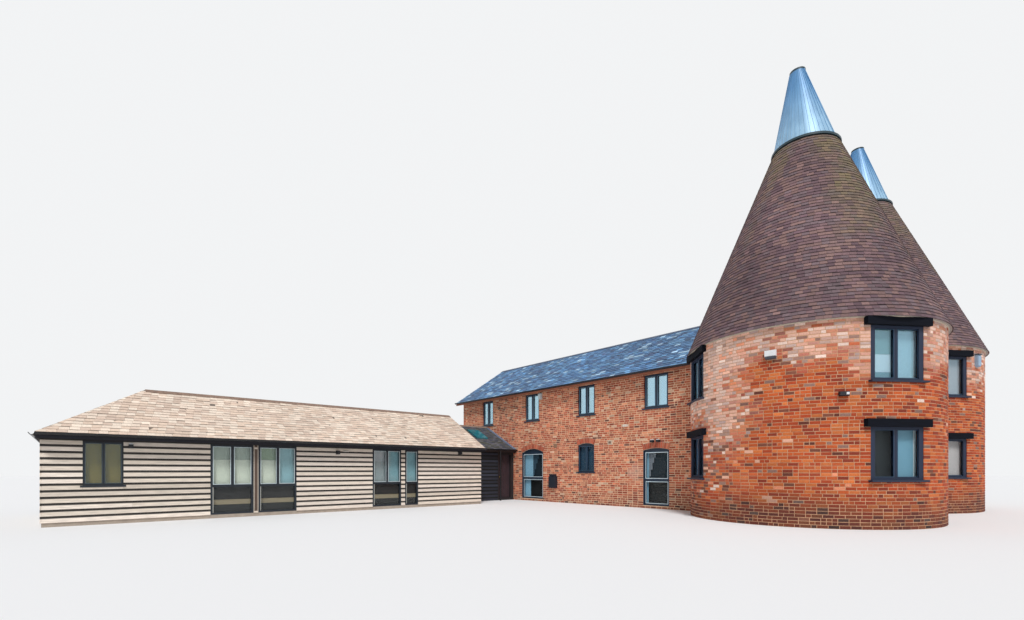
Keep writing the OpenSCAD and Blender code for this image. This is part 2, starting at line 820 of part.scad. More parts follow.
// The leaf shuts flush with the inner face of the wall and hangs on the range side
leaf_x = lobby_front_x - lobby_wall;
leaf_w = door_w - 2 * jamb - 2 * leaf_gap;
leaf_h = door_h - jamb - 2 * leaf_gap;
hinge_x = leaf_x - barrel_r - joint;
hinge_y = -door_side - jamb - leaf_gap / 2;
hinge_zs = [for (share = [0.1, 0.5, 0.9]) ground_floor_z + leaf_gap + share * leaf_h];

// Hollow of the frame, for the leaf and for what is seen past the stops
module door_hollow(side, depth) {
    translate([leaf_x - cut, door_y + jamb + side, ground_floor_z])
        cube([depth + cut, door_w - 2 * jamb - 2 * side, door_h - jamb - side]);
}

// Threshold, jambs, head and the fixed halves of the hinges
module door_frame() {
    color("saddlebrown") house() {
        difference() {
            along_y(door_y, door_w) translate([lobby_front_x, 0]) mirror([1, 0])
                lobby_wall_outline();
            door_hollow(0, leaf_t + leaf_gap);
            door_hollow(door_stop, lobby_wall + cut);
        }
        for (z = hinge_zs) translate([hinge_x, hinge_y, z]) {
            for (end = [-1.5, 0.5]) translate([0, 0, end * barrel_len]) {
                cylinder(r = barrel_r, h = barrel_len);
                translate([0, leaf_gap / 2, 0])
                    cube([barrel_r + joint + 1, jamb / 2, barrel_len]);
                cube([barrel_r - 2, leaf_gap / 2 + 1, barrel_len]);
            }
            translate([0, 0, -barrel_len]) cylinder(r = pin_r, h = 2 * barrel_len);
        }
    }
}

// Boarded leaf with the turning parts of its hinges
module front_door() {
    boards = round(leaf_w / leaf_board);
    color("saddlebrown") house() difference() {
        union() {
            translate([leaf_x, door_y + jamb + leaf_gap, ground_floor_z + leaf_gap])
                cube([leaf_t, leaf_w, leaf_h]);
            for (z = hinge_zs) translate([hinge_x, hinge_y, z - barrel_len / 2 + seat]) {
                cylinder(r = barrel_r, h = barrel_len - 2 * seat);
                translate([0, -leaf_gap / 2 - jamb / 2, 0])
                    cube([barrel_r + joint + 1, jamb / 2, barrel_len - 2 * seat]);
                translate([0, -leaf_gap / 2 - 1, 0])
                    cube([barrel_r - 2, leaf_gap / 2 + 1, barrel_len - 2 * seat]);
            }
        }
        for (z = hinge_zs) translate([hinge_x, hinge_y, z - barrel_len])
            cylinder(r = pin_r + seat, h = 2 * barrel_len);
        for (i = [1:boards - 1])
            translate([leaf_x + leaf_t, door_y + jamb + leaf_gap + i * leaf_w / boards, 0])
                rotate([0, 0, 45]) translate([-groove / 2, -groove / 2, 0])
                    cube([groove, groove, 2 * leaf_h]);
    }
}

// Turned knob: rose, neck and ball
module door_knob() {
    color("goldenrod") house()
        translate([leaf_x + leaf_t, door_y + jamb + leaf_gap + knob_in, ground_floor_z + knob_up])
            rotate([0, 90, 0]) {
                cylinder(r = 0.8 * knob_r, h = knob_r / 4);
                cylinder(r = 0.3 * knob_r, h = 1.5 * knob_r);
                translate([0, 0, 1.7 * knob_r]) sphere(r = knob_r);
            }
}

function wing_under(d) = wing_eaves_z - wing_tv + (wing_eaves_out + d) * wing_slope;
wing_top = wing_under(wing_half);
wing_len = wing_near_y - wing_far_y;
wing_hip_y = wing_far_y - wing_end_out + hip_run;

module wing_floor() {
    color("gainsboro") house() translate([wing_back_x, wing_far_y, 0])
        cube([2 * wing_half, wing_len, plinth_h]);
}

// Gabled outline of the wing in X and Z, lowered for the underside of the roof
module wing_outline(drop) {
    e = wing_half + wing_eaves_out;
    translate([wing_ridge_x, -drop]) polygon([[-e, wing_eaves_z], [0, wing_eaves_z + wing_roof_rise],
        [e, wing_eaves_z], [e, 0], [-e, 0]]);
}

// Outline of the wing in Y and Z: hipped at the left end, plain at the right
module wing_hip_outline(drop) {
    translate([0, -drop]) polygon([[wing_far_y - wing_end_out, 0],
        [wing_far_y - wing_end_out, wing_eaves_z], [wing_hip_y, wing_eaves_z + wing_roof_rise],
        [wing_near_y, wing_eaves_z + wing_roof_rise], [wing_near_y, 0]]);
}

// Everything under the wing's slates, or under their underside
module wing_mass(drop) {
    intersection() {
        along_y(wing_far_y - 2 * wing_eaves_out, wing_len + 2 * wing_eaves_out) wing_outline(drop);
        along_x(wing_back_x - 2 * wing_eaves_out, 2 * wing_half + 4 * wing_eaves_out) wing_hip_outline(drop);
    }
}

// A block of wall kept under the roof
module under_wing_roof(x0, y0, dx, dy) {
    intersection() {
        translate([x0, y0, plinth_h]) cube([dx, dy, wing_eaves_z + wing_roof_rise]);
        wing_mass(wing_tv);
    }
}

module wing_front_wall() {
    color([0.12, 0.11, 0.11]) house() difference() {
        under_wing_roof(wing_front_x - wing_wall, wing_far_y, wing_wall, wing_len);
        cut_openings(wing_front_windows, wing_wall, 0);
    }
}

module wing_back_wall() {
    color([0.12, 0.11, 0.11]) house() difference() {
        under_wing_roof(wing_back_x, wing_far_y, wing_wall, wing_len);
        cut_openings(wing_back_windows, wing_wall, 0);
    }
}

module wing_left_wall() {
    color([0.12, 0.11, 0.11]) house()
        under_wing_roof(wing_back_x + wing_wall, wing_far_y, 2 * (wing_half - wing_wall), wing_wall);
}

module wing_right_gable() {
    color([0.12, 0.11, 0.11]) house()
        under_wing_roof(wing_back_x + wing_wall, wing_near_y - wing_wall, 2 * (wing_half - wing_wall), wing_wall);
}

module wing_roof() {
    e = wing_half + wing_eaves_out;
    end_y = wing_far_y - wing_end_out;
    x = wing_ridge_x;
    color("dimgray") house() for (plan = [
        [[x + joint / 2, wing_hip_y], [x + e, end_y], [x + e, wing_near_y], [x + joint / 2, wing_near_y]],
        [[x - joint / 2, wing_hip_y], [x - e, end_y], [x - e, wing_near_y], [x - joint / 2, wing_near_y]],
        [[x, wing_hip_y - joint], [x + e, end_y - joint], [x - e, end_y - joint]]])
        intersection() {
            difference() {
                wing_mass(0);
                wing_mass(wing_tv);
                translate([x - 2 * e, end_y - cut, -cut])
                    cube([4 * e, wing_len + 2 * wing_eaves_out + 2 * cut, wing_eaves_z - wing_tv + cut]);
            }
            linear_extrude(wing_eaves_z + wing_roof_rise + cut) polygon(plan);
        }
}

module wing_ridge_tiles() {
    color("sienna") house() translate([wing_ridge_x, wing_near_y, 0]) rotate([0, 0, -90])
        ridge_tiles(0, wing_near_y - wing_hip_y, wing_eaves_z + wing_roof_rise + rest, wing_slope);
}

module wing_gutters() {
    end_y = wing_far_y - wing_end_out;
    color("black") house() {
        for (side = [0, 1]) translate([wing_ridge_x, 0, 0]) mirror([side, 0, 0])
            along_y(end_y, wing_near_y - end_y)
                translate([wing_half + wing_eaves_out, wing_eaves_z - gutter_t]) gutter_outline();
        along_x(wing_back_x - wing_eaves_out, 2 * (wing_half + wing_eaves_out))
            translate([end_y, wing_eaves_z - gutter_t]) mirror([1, 0]) gutter_outline();
    }
}

module wing_window_frames() {
    color("darkslategray") house() {
        frames(wing_windows, 0);
    }
}

module wing_glass() {
    color("lightblue") house() glazing(wing_windows, 0);
}

ground_floors();
upper_floors();
range_front_wall();
range_back_wall();
range_left_gable();
range_right_gable();
range_roof();
range_ridge_tiles();
range_gutters();
range_arches();
range_window_frames();
range_glass();
near_kiln_wall_right();
near_kiln_wall_back();
near_kiln_wall_left();
far_kiln_wall_right();
far_kiln_wall_back();
far_kiln_wall_left();
near_kiln_roof();
far_kiln_roof();
near_cowl();
far_cowl();
kiln_lintels();
kiln_window_frames();
kiln_glass();
lobby_floor();
lobby_side_wall();
lobby_end_wall();
lobby_front_wall();
lobby_roof();
lobby_ridge_tiles();
lobby_rooflight();
lobby_flashing();
lobby_gutters();
door_frame();
front_door();
door_knob();
wing_floor();
wing_front_wall();
wing_back_wall();
wing_left_wall();
wing_right_gable();
wing_roof();
wing_ridge_tiles();
wing_gutters();
wing_window_frames();
wing_glass();
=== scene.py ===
"""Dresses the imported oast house: brickwork, tiles, slates, boards, finishes, light and camera."""

import logging
import math
from collections.abc import Callable, Iterable, Iterator, Sequence
from dataclasses import dataclass, field
from enum import Enum

import bmesh
import bpy
import numpy as np
from mathutils import Matrix, Vector

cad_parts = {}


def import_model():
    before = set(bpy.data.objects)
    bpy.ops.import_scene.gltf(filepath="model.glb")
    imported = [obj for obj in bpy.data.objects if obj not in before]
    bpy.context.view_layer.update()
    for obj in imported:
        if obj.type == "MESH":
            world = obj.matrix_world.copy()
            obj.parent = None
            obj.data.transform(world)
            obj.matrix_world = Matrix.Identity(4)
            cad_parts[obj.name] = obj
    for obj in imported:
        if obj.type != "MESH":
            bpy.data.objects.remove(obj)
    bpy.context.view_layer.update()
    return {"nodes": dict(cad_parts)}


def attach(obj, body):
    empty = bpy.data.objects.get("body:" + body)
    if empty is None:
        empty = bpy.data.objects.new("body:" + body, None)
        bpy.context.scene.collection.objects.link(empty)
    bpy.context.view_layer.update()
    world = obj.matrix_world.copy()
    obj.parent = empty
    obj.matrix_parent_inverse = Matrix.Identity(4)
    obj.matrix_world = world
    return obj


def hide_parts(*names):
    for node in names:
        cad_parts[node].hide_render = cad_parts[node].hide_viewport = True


LOG = logging.getLogger("oast_house")

# Sizes are in metres from the range's front left corner: X along the range, Y away from the courtyard.
# ORIGIN is where the row's own origin lies in those terms.
ORIGIN = np.array([9.520, -2.896, 0.0])

# Least length and height of a stretch of wall, or of a course, that still gets pieces.
LEAST_STRETCH = (0.02, 0.012)
LEAST_BRICKS = (0.05, 0.02)
LEAST_BOARDS = (0.1, 0.03)

Array = np.ndarray
Random = np.random.Generator
Obj = bpy.types.Object
Material = bpy.types.Material
Node = bpy.types.Node
Socket = bpy.types.NodeSocket
Outputs = bpy.types.NodeOutputs
Pair = tuple[float, float]
Triple = tuple[float, float, float]
Tone = Triple
Span = tuple[float, float, float, float]
Shape = tuple[list[Triple], list[tuple[int, ...]]]
Stretch = tuple[float, float, float, float, bool, bool]
Pieces = tuple[Array, Array, Array]
Width = Callable[[float], Pair]
Moving = Callable[[Array], Array]
Toning = Callable[[Random, Array], Array]


def srgb(red: int, green: int, blue: int) -> Tone:
    """Turns a colour written from 0 to 255 into the linear one that shaders use."""
    parts = [c / 255 for c in (red, green, blue)]
    return tuple(c / 12.92 if c <= 0.04045 else ((c + 0.055) / 1.055) ** 2.4 for c in parts)


def dim(tone: Tone, share: float) -> Tone:
    """Gives a tone at a share of its brightness."""
    return tuple(c * share for c in tone)


def smooth(x: Array | float, low: float, high: float) -> Array:
    """Rises smoothly from 0 at low to 1 at high."""
    t = np.clip((np.asarray(x, float) - low) / (high - low), 0, 1)
    return t * t * (3 - 2 * t)


def drift(points: Array, period: float, seed: int) -> Array:
    """A slow random field for patches of weather.

    Args:
        points: places, one row each.
        period: about the width of a patch.
        seed: which field.

    Returns:
        One number from about -1 to 1 for each place.
    """
    rng = np.random.default_rng(seed)
    total = np.zeros(len(points))
    for _ in range(6):
        wave = rng.normal(size=points.shape[1]) / period * 2.2
        total += np.sin(points @ wave + rng.uniform(0, 2 * math.pi))
    return total / 3


def even(left: float, right: float) -> Width:
    """Gives a width that is the same at every height."""
    return lambda v: (left, right)


class Grain(Enum):
    """Which way a finish's own variation runs."""

    FINE = (1.0, 1.0, 1.0)
    STREAKED = (1.0, 1.0, 0.08)
    LEVEL = (0.06, 0.06, 1.0)


class Nodes:
    """A node tree of any kind, with short ways to add nodes and join them."""

    def __init__(self, tree: bpy.types.NodeTree) -> None:
        """Works on a tree as it stands."""
        self.tree = tree

    def add(self, kind: str, values: dict[str | int, object] | None = None, **settings: object) -> Node:
        """Adds a node.

        Args:
            kind: the node's type name.
            values: what to set or join on its input sockets.
            settings: what to set on the node itself.

        Returns:
            The node.
        """
        node = self.tree.nodes.new(kind)
        for key, value in settings.items():
            setattr(node, key, value)
        self.fill(node, values or {})
        return node

    def fill(self, node: Node, values: dict[str | int, object]) -> None:
        """Sets a node's input sockets, or joins them where the value is a socket too.

        Args:
            node: the node.
            values: what each socket gets, by its name or number.
        """
        for key, value in values.items():
            socket = node.inputs[key]
            if isinstance(value, Socket):
                self.tree.links.new(value, socket)
            elif isinstance(value, tuple) and socket.type == "RGBA":
                socket.default_value = (*value, 1.0)
            else:
                socket.default_value = value

    def first(self, kind: str) -> Node:
        """Gives the first node of a kind."""
        return next(n for n in self.tree.nodes if n.type == kind)


class Shader(Nodes):
    """One material's nodes."""

    def __init__(self, name: str) -> None:
        """Starts a material with a plain shader joined to its output.

        Args:
            name: the material's name.
        """
        self.material = bpy.data.materials.new(name)
        self.material.use_nodes = True
        super().__init__(self.material.node_tree)

    def surface(self, values: dict[str | int, object]) -> Material:
        """Sets or joins the plain shader's sockets and gives the material."""
        self.fill(self.first("BSDF_PRINCIPLED"), values)
        return self.material

    def math(self, operation: str, *values: object) -> Socket:
        """Adds a sum on one to three numbers and gives its result."""
        return self.add("ShaderNodeMath", dict(enumerate(values)), operation=operation).outputs[0]

    def mix(self, share: object, a: object, b: object) -> Socket:
        """Adds a mix of two colours, which are the node's sockets 6 and 7, and gives its result."""
        return self.add("ShaderNodeMix", {0: share, 6: a, 7: b}, data_type="RGBA").outputs[2]

    def mottle(self, noise: object, high: float, most: float, tone: Tone, dark: Tone) -> Socket:
        """Mixes up to a share of a darker tone into a tone where a noise is high."""
        return self.mix(self.ramp(noise, 0.3, high, 0.0, most), tone, dark)

    def place(self) -> Socket:
        """Gives the place on the object, in the row frame."""
        return self.add("ShaderNodeTexCoord").outputs["Object"]

    def split(self, vector: Socket) -> Outputs:
        """Gives the three numbers of a vector."""
        return self.add("ShaderNodeSeparateXYZ", {0: vector}).outputs

    def attribute(self, name: str, output: str) -> Socket:
        """Gives what the mesh itself says under a name."""
        return self.add("ShaderNodeAttribute", attribute_name=name).outputs[output]

    def noise(self, scale: float, detail: float = 3.0, stretch: Triple = (1.0, 1.0, 1.0)) -> Socket:
        """Adds a noise on the object's own place and gives its number.

        Args:
            scale: how fine it is.
            detail: how many finer noises it holds.
            stretch: scale along each axis.

        Returns:
            Its number.
        """
        mapping = self.add("ShaderNodeMapping", {"Vector": self.place(), "Scale": Vector(stretch)})
        values = {"Vector": mapping.outputs[0], "Scale": scale, "Detail": detail, "Roughness": 0.6}
        return self.add("ShaderNodeTexNoise", values).outputs[0]

    def ramp(self, value: object, *ends: float) -> Socket:
        """Maps a number from one span to another, held at the ends: from low, from high, to low, to high."""
        return self.add("ShaderNodeMapRange", dict(enumerate((value, *ends)))).outputs[0]

    def bump(self, height: object, depth: float) -> Socket:
        """Gives a normal that is roughened by a height field."""
        return self.add("ShaderNodeBump", {"Height": height, "Distance": depth, "Strength": 1.0}).outputs[0]


@dataclass(frozen=True)
class Finish:
    """A matt or satin finish with its own slight variation. Without a tone, each piece has its own. Where it has laps,
    a band of painted shade darkens each piece under the next course's lap.
    """

    name: str
    tone: Tone | None
    roughness: float
    metallic: float = 0.0
    grain: Grain = Grain.FINE
    grain_scale: float = 14.0
    contrast: float = 0.3
    depth: float = 0.001
    dark: Tone = (0.0, 0.0, 0.0)
    lap_shade: Pair | None = None
    lap_shade_depth: float = 0.75
    under: Tone | None = None
    shine: float = 0.5

    def build(self) -> Material:
        """Makes the material: its tone, varied by a noise, another tone on undersides, and a band of painted shade at
        the laps.

        Returns:
            The material.
        """
        s = Shader(self.name)
        base: object = s.attribute("tone", "Color") if self.tone is None else self.tone
        if self.under is not None:
            facing = s.split(s.add("ShaderNodeNewGeometry").outputs["Normal"])[2]
            base = s.mix(s.math("LESS_THAN", facing, -0.2), base, self.under)
        grain = s.noise(self.grain_scale, 4.0, self.grain.value)
        share = s.ramp(grain, 0.35, 0.7, 0.0, self.contrast)
        # painted shade: darkens the band of each piece that lies under the next course's lap
        if self.lap_shade is not None:
            share = s.math("MAXIMUM", share, s.ramp(s.attribute("up", "Fac"), *self.lap_shade, 0.0, self.lap_shade_depth))
        return s.surface({
            "Base Color": s.mix(share, base, self.dark), "Roughness": self.roughness, "Metallic": self.metallic,
            "Specular IOR Level": self.shine, "Normal": s.bump(grain, self.depth),
        })


@dataclass(frozen=True)
class Glazing:
    """Clear glass that shows the room behind it, darkly, and a painted reflection in the panes above a height, where
    the reflection is stronger and tinted sky blue.
    """

    name: str = "window_glass"
    above: float = 3.0
    share: float = 0.16
    sky: Tone = srgb(190, 226, 246)
    tone: Tone = srgb(244, 249, 250)
    roughness: float = 0.03

    def build(self) -> Material:
        """Makes the material: a clear sheet with a sharp reflection, which above a height is a stronger, sky-tinted
        painted reflection.

        Returns:
            The material.
        """
        s = Shader(self.name)
        clear = s.add("ShaderNodeBsdfTransparent", {"Color": self.tone})
        # painted reflection: above the height the glass reflects at least its share, tinted sky blue
        high = s.math("GREATER_THAN", s.split(s.place())[2], self.above)
        painted_sky_tint = s.mix(high, (1.0, 1.0, 1.0), self.sky)
        shine = s.add("ShaderNodeBsdfGlossy", {"Color": painted_sky_tint, "Roughness": self.roughness})
        slant = s.math("POWER", s.add("ShaderNodeLayerWeight", {"Blend": 0.5}).outputs["Facing"], 5.0)
        share = s.math("MAXIMUM", s.ramp(slant, 0.0, 1.0, 0.008, 0.5), s.math("MULTIPLY", high, self.share))
        both = s.add("ShaderNodeMixShader", {0: share, 1: clear.outputs[0], 2: shine.outputs[0]})
        s.fill(s.first("OUTPUT_MATERIAL"), {"Surface": both.outputs[0]})
        return s.surface({"Roughness": self.roughness, "Base Color": self.tone, "IOR": 1.45})


@dataclass(frozen=True)
class Masonry:
    """Mortar on a wall's outer skin, courses of brick on its reveals and plaster towards the rooms.

    The skin is a round one about `axis`, or flat ones: each of `planes` says across which axis it
    stands, where, and whether the outside is at its high side. `bed` and `perp` say from where in
    a course and in a brick's length the joint runs.
    """

    name: str
    mortar: Tone
    brick: Tone
    axis: Pair | None = None
    radius: float = 0.0
    planes: tuple[tuple[int, float, bool], ...] = ()
    course: float = 0.08
    length: float = 0.225
    bed: float = 0.87
    perp: float = 0.95
    skin: float = 0.004
    room: float = 0.2
    plaster: Tone = srgb(84, 78, 74)

    def depth(self, s: Shader, place: Outputs) -> Socket:
        """Gives how far a place is inside the outer skin.

        Args:
            s: the material's nodes.
            place: the three numbers of the place.

        Returns:
            The distance.
        """
        if self.axis is not None:
            off = [s.math("SUBTRACT", place[i], self.axis[i] - float(ORIGIN[i])) for i in (0, 1)]
            reach = s.math("SQRT", s.math("ADD", *(s.math("MULTIPLY", d, d) for d in off)))
            return s.math("SUBTRACT", self.radius, reach)
        least: object = 9.0
        for index, at, above in self.planes:
            skin = at - float(ORIGIN[index])
            ends = (skin, place[index]) if above else (place[index], skin)
            least = s.math("MINIMUM", least, s.math("SUBTRACT", *ends))
        return least

    def build(self) -> Material:
        """Makes the material.

        Returns:
            The material.
        """
        s = Shader(self.name)
        place = s.split(s.place())
        row = s.math("DIVIDE", place[2], self.course)
        along = s.math("DIVIDE", s.math("ADD", place[0], place[1]), self.length)
        parity = s.math("MULTIPLY", s.math("MODULO", s.math("FLOOR", row), 2.0), 0.5)
        bed = s.math("GREATER_THAN", s.math("FRACT", row), self.bed)
        perp = s.math("GREATER_THAN", s.math("FRACT", s.math("ADD", along, parity)), self.perp)
        depth = self.depth(s, place)
        joint = s.math("MAXIMUM", s.math("MAXIMUM", bed, perp), s.math("LESS_THAN", depth, self.skin))
        soft = s.noise(9.0)
        brick = s.mottle(soft, 0.7, 0.5, self.brick, dim(self.brick, 0.5))
        mortar = s.mottle(soft, 0.75, 0.4, self.mortar, dim(self.mortar, 0.55))
        inside = s.math("GREATER_THAN", depth, self.room)
        base = s.mix(inside, s.mix(joint, brick, mortar), self.plaster)
        return s.surface({"Base Color": base, "Roughness": 0.95, "Normal": s.bump(s.noise(120.0), 0.001)})


@dataclass(frozen=True)
class Slab:
    """Two tones that meet at a level: a floor or roof with one tone along its edge and one on top."""

    name: str
    top: float
    edge: Tone = srgb(178, 164, 150)
    inside: Tone = srgb(74, 70, 68)
    roughness: float = 0.9

    def build(self) -> Material:
        """Makes the material.

        Returns:
            The material.
        """
        s = Shader(self.name)
        level = s.split(s.place())[2]
        edge = s.mottle(s.noise(7.0), 0.7, 0.4, self.edge, dim(self.edge, 0.5))
        base = s.mix(s.math("GREATER_THAN", level, self.top - 0.002), edge, self.inside)
        return s.surface({"Base Color": base, "Roughness": self.roughness})


@dataclass(frozen=True)
class CowlSheet:
    """Painted sheet of a leaning cowl, with dark rims at its foot and top, and a painted sky reflection that pales it
    towards the foot.
    """

    name: str
    foot: Triple
    lean: Vector
    height: float
    rim: float
    tone: Tone = srgb(96, 150, 196)
    pale: Tone = srgb(158, 196, 222)
    edge: Tone = srgb(38, 58, 66)

    def build(self) -> Material:
        """Makes the material: paler towards the foot, a painted reflection of the sky, with faint streaks.

        Returns:
            The material.
        """
        s = Shader(self.name)
        foot = Vector((np.array(self.foot) - ORIGIN).tolist())
        away = s.add("ShaderNodeVectorMath", {0: s.place(), 1: foot}, operation="SUBTRACT").outputs[0]
        up = s.add("ShaderNodeVectorMath", {0: away, 1: self.lean}, operation="DOT_PRODUCT").outputs["Value"]
        level = s.split(away)[2]
        cap = s.math("GREATER_THAN", up, self.height - self.rim - 0.001)
        curb = s.math("LESS_THAN", level, self.rim + 0.001)
        # painted reflection: the sheet pales towards the foot as if it mirrored the sky
        sheet = s.mix(s.ramp(level, 0.1, self.height * 0.75, 1.0, 0.0), self.tone, self.pale)
        streak = s.ramp(s.noise(9.0, 3.0, (1.0, 1.0, 0.05)), 0.35, 0.7, 0.0, 0.35)
        sheet = s.mix(streak, sheet, dim(self.tone, 0.55))
        base = s.mix(s.math("MAXIMUM", cap, curb), sheet, self.edge)
        return s.surface({"Base Color": base, "Roughness": 0.42, "Metallic": 0.1})


Coat = Finish | Glazing | Masonry | Slab | CowlSheet


class Finishes:
    """Every material of the scene, made once and given by name."""

    def __init__(self) -> None:
        """Starts with none."""
        self.made: dict[str, Material] = {}

    def of(self, finish: Coat) -> Material:
        """Gives the material of a finish, and makes it the first time.

        Args:
            finish: the finish.

        Returns:
            Its material.
        """
        if finish.name not in self.made:
            self.made[finish.name] = finish.build()
        return self.made[finish.name]


FINISHES = Finishes()

BRICK = Finish("brick_face", None, 0.9, grain_scale=40.0, depth=0.002)
# Slates, tiles and boards get a band of painted shade under each lap.
SLATE = Finish("slate_face", None, 0.55, grain_scale=16.0, contrast=0.28, depth=0.002, lap_shade=(0.36, 0.5), lap_shade_depth=0.88)
WING_SLATE = Finish("wing_slate_face", None, 0.8, grain_scale=20.0, contrast=0.22, depth=0.002, lap_shade=(0.43, 0.52),
                    lap_shade_depth=0.8)
TILE = Finish("tile_face", None, 0.85, grain_scale=30.0, depth=0.002, lap_shade=(0.42, 0.58), lap_shade_depth=0.88)
BOARD = Finish("board_face", None, 0.75, grain=Grain.LEVEL, grain_scale=60.0, depth=0.0015, lap_shade=(0.52, 0.6),
               lap_shade_depth=0.97)
MADE = Finish("made_piece", None, 0.6, contrast=0.1)
RANGE_FRAME = Finish("range_frame_paint", srgb(34, 54, 74), 0.45, grain=Grain.STREAKED, depth=0.0005)
KILN_FRAME = Finish("kiln_frame_paint", srgb(20, 34, 60), 0.45, grain=Grain.STREAKED, depth=0.0005)
WING_FRAME = Finish("wing_frame_paint", srgb(26, 36, 46), 0.5, grain=Grain.STREAKED, depth=0.0005)
LINTEL = Finish("lintel_timber", srgb(14, 18, 28), 0.8, grain=Grain.LEVEL, grain_scale=40.0, contrast=0.5, shine=0.12)
DECK = Finish("roof_deck", srgb(60, 48, 46), 0.9)
CONE_DECK = Finish("cone_deck", srgb(60, 48, 46), 0.9, under=srgb(176, 168, 162))
ROOF_STONE = Slab("range_roof_edge", 4.775, srgb(170, 106, 80), srgb(40, 52, 70), 0.8)
# A dark edge for the wing's roof deck, partly painted shade: it reads as the shaded top boards under the eaves.
WING_DECK = Finish("wing_roof_edge", srgb(38, 38, 46), 0.85)
RIDGE = Finish("ridge_clay", srgb(150, 124, 108), 0.85, contrast=0.6, grain_scale=9.0, dark=srgb(84, 70, 64))
RANGE_RIDGE = Finish("ridge_slate", srgb(74, 88, 112), 0.7, contrast=0.5, grain_scale=9.0, dark=srgb(40, 46, 60))
GUTTER = Finish("gutter_paint", srgb(24, 24, 28), 0.35)
RANGE_GUTTER = Finish("range_gutter_paint", srgb(30, 36, 48), 0.5)
LEAD = Finish("lead_sheet", srgb(112, 134, 162), 0.5, metallic=0.2)
BOARD_BACK = Finish("board_back", srgb(40, 38, 40), 0.85, grain=Grain.LEVEL, grain_scale=40.0)
DOOR = Finish("door_timber", srgb(62, 44, 50), 0.65, grain=Grain.STREAKED, grain_scale=40.0, contrast=0.5)
DOOR_FRAME = Finish("door_frame_timber", srgb(36, 30, 32), 0.7, grain=Grain.STREAKED, grain_scale=30.0)
BRASS = Finish("knob_brass", srgb(222, 188, 120), 0.25, metallic=1.0, contrast=0.05, depth=0.0)
FLOOR_BOARDS = Finish("floor_boards", srgb(96, 74, 54), 0.7, grain=Grain.LEVEL, grain_scale=20.0)
ARCH_BACK = Finish("arch_mortar", srgb(190, 160, 140), 0.95)
EAVES_MORTAR = Finish("eaves_mortar", srgb(206, 192, 172), 0.95)
ROOFLIGHT = Finish("rooflight_glass", srgb(46, 120, 132), 0.12, grain_scale=3.0, depth=0.0)
STAGE = Finish("stage_floor", srgb(238, 238, 239), 0.95, contrast=0.0, depth=0.0)


def link(name: str, mesh: bpy.types.Mesh) -> Obj:
    """Puts a mesh in the scene as an object at the origin.

    Args:
        name: the object's name.
        mesh: its mesh, or its camera or lamp.

    Returns:
        The object.
    """
    obj = bpy.data.objects.new(name, mesh)
    bpy.context.scene.collection.objects.link(obj)
    return obj


def solid(name: str, points: Array, faces: Iterable[Sequence[int]], finish: Coat) -> Obj:
    """Makes an object of points in building terms and faces.

    Args:
        name: the object's name.
        points: its corners, one row each.
        faces: the corners' numbers of each face, seen from outside against the clock.
        finish: what it is made of.

    Returns:
        The object.
    """
    mesh = bpy.data.meshes.new(name)
    mesh.from_pydata((np.asarray(points, float) - ORIGIN).tolist(), [], [list(f) for f in faces])
    mesh.materials.append(FINISHES.of(finish))
    return link(name, mesh)


def lathe(name: str, axis: Pair, profile: Sequence[Pair], finish: Coat, steps: int = 96) -> Obj:
    """Turns a closed outline of radius and height about an upright axis.

    Args:
        name: the object's name.
        axis: where the axis stands.
        profile: the outline, against the clock when the radius runs right.
        finish: what it is made of.
        steps: how many sides the circle has.

    Returns:
        The object.
    """
    turns = np.linspace(0, 2 * math.pi, steps, endpoint=False)
    count = len(profile)
    points = [(axis[0] + r * math.cos(t), axis[1] + r * math.sin(t), z) for t in turns for r, z in profile]
    faces = []
    for i in range(steps):
        a, b = i * count, (i + 1) % steps * count
        faces += [(a + j, b + j, b + (j + 1) % count, a + (j + 1) % count) for j in range(count)]
    return solid(name, np.array(points), faces, finish)


class Units:
    """The small solids that the geometry tree lays.

    Each spans -0.5 to 0.5 in X and 0 to 1 in Y, and has its face at Z 0.
    """

    def __init__(self) -> None:
        """Makes the solids and keeps them out of sight."""
        self.brick = self._keep("unit_brick", self._chamfered(0.06, 0.16, 0.25))
        self.tile = self._keep("unit_tile", self._plate())
        self.board = self._keep("unit_board", self._wedge())

    @staticmethod
    def _keep(name: str, shape: Shape) -> Obj:
        """Makes a solid that isn't shown, with how far up it each corner is.

        Args:
            name: the solid's name.
            shape: its corners and faces.

        Returns:
            The hidden object.
        """
        mesh = bpy.data.meshes.new(name)
        mesh.from_pydata(shape[0], [], shape[1])
        mesh.attributes.new("up", "FLOAT", "POINT").data.foreach_set("value", [p[1] for p in shape[0]])
        obj = bpy.data.objects.new(name, mesh)
        obj.hide_render = True
        return obj

    @staticmethod
    def _level(z: float, x: float = 0.5, y0: float = 0, y1: float = 1) -> list[Triple]:
        """The corners of a rectangle at one height."""
        return [(-x, y0, z), (x, y0, z), (x, y1, z), (-x, y1, z)]

    @staticmethod
    def _between(low: int) -> list[tuple[int, ...]]:
        """The faces between one such rectangle and the next."""
        return [(low + i, low + (i + 1) % 4, low + 4 + (i + 1) % 4, low + 4 + i) for i in range(4)]

    def _chamfered(self, dx: float, dy: float, dz: float) -> Shape:
        """A block with its front edges taken off and no back, which is in the wall."""
        points = self._level(-1) + self._level(-dz) + self._level(0, 0.5 - dx / 2, dy / 2, 1 - dy / 2)
        return points, [(8, 9, 10, 11), *self._between(0), *self._between(4)]

    def _plate(self) -> Shape:
        """A flat plate, closed all round."""
        return self._level(-1) + self._level(0), [(3, 2, 1, 0), (4, 5, 6, 7), *self._between(0)]

    @staticmethod
    def _wedge() -> Shape:
        """A feather-edged board: thick along its foot and thin along its top.

        Returns:
            Its corners and faces.
        """
        points = [(x, y, z) for x in (-0.5, 0.5) for y, z in ((0, 0), (0, 1), (1, 0.3), (1, 0))]
        faces = [(0, 1, 2, 3), (7, 6, 5, 4)] + [(i, 4 + i, 4 + (i + 1) % 4, (i + 1) % 4) for i in range(4)]
        return points, faces


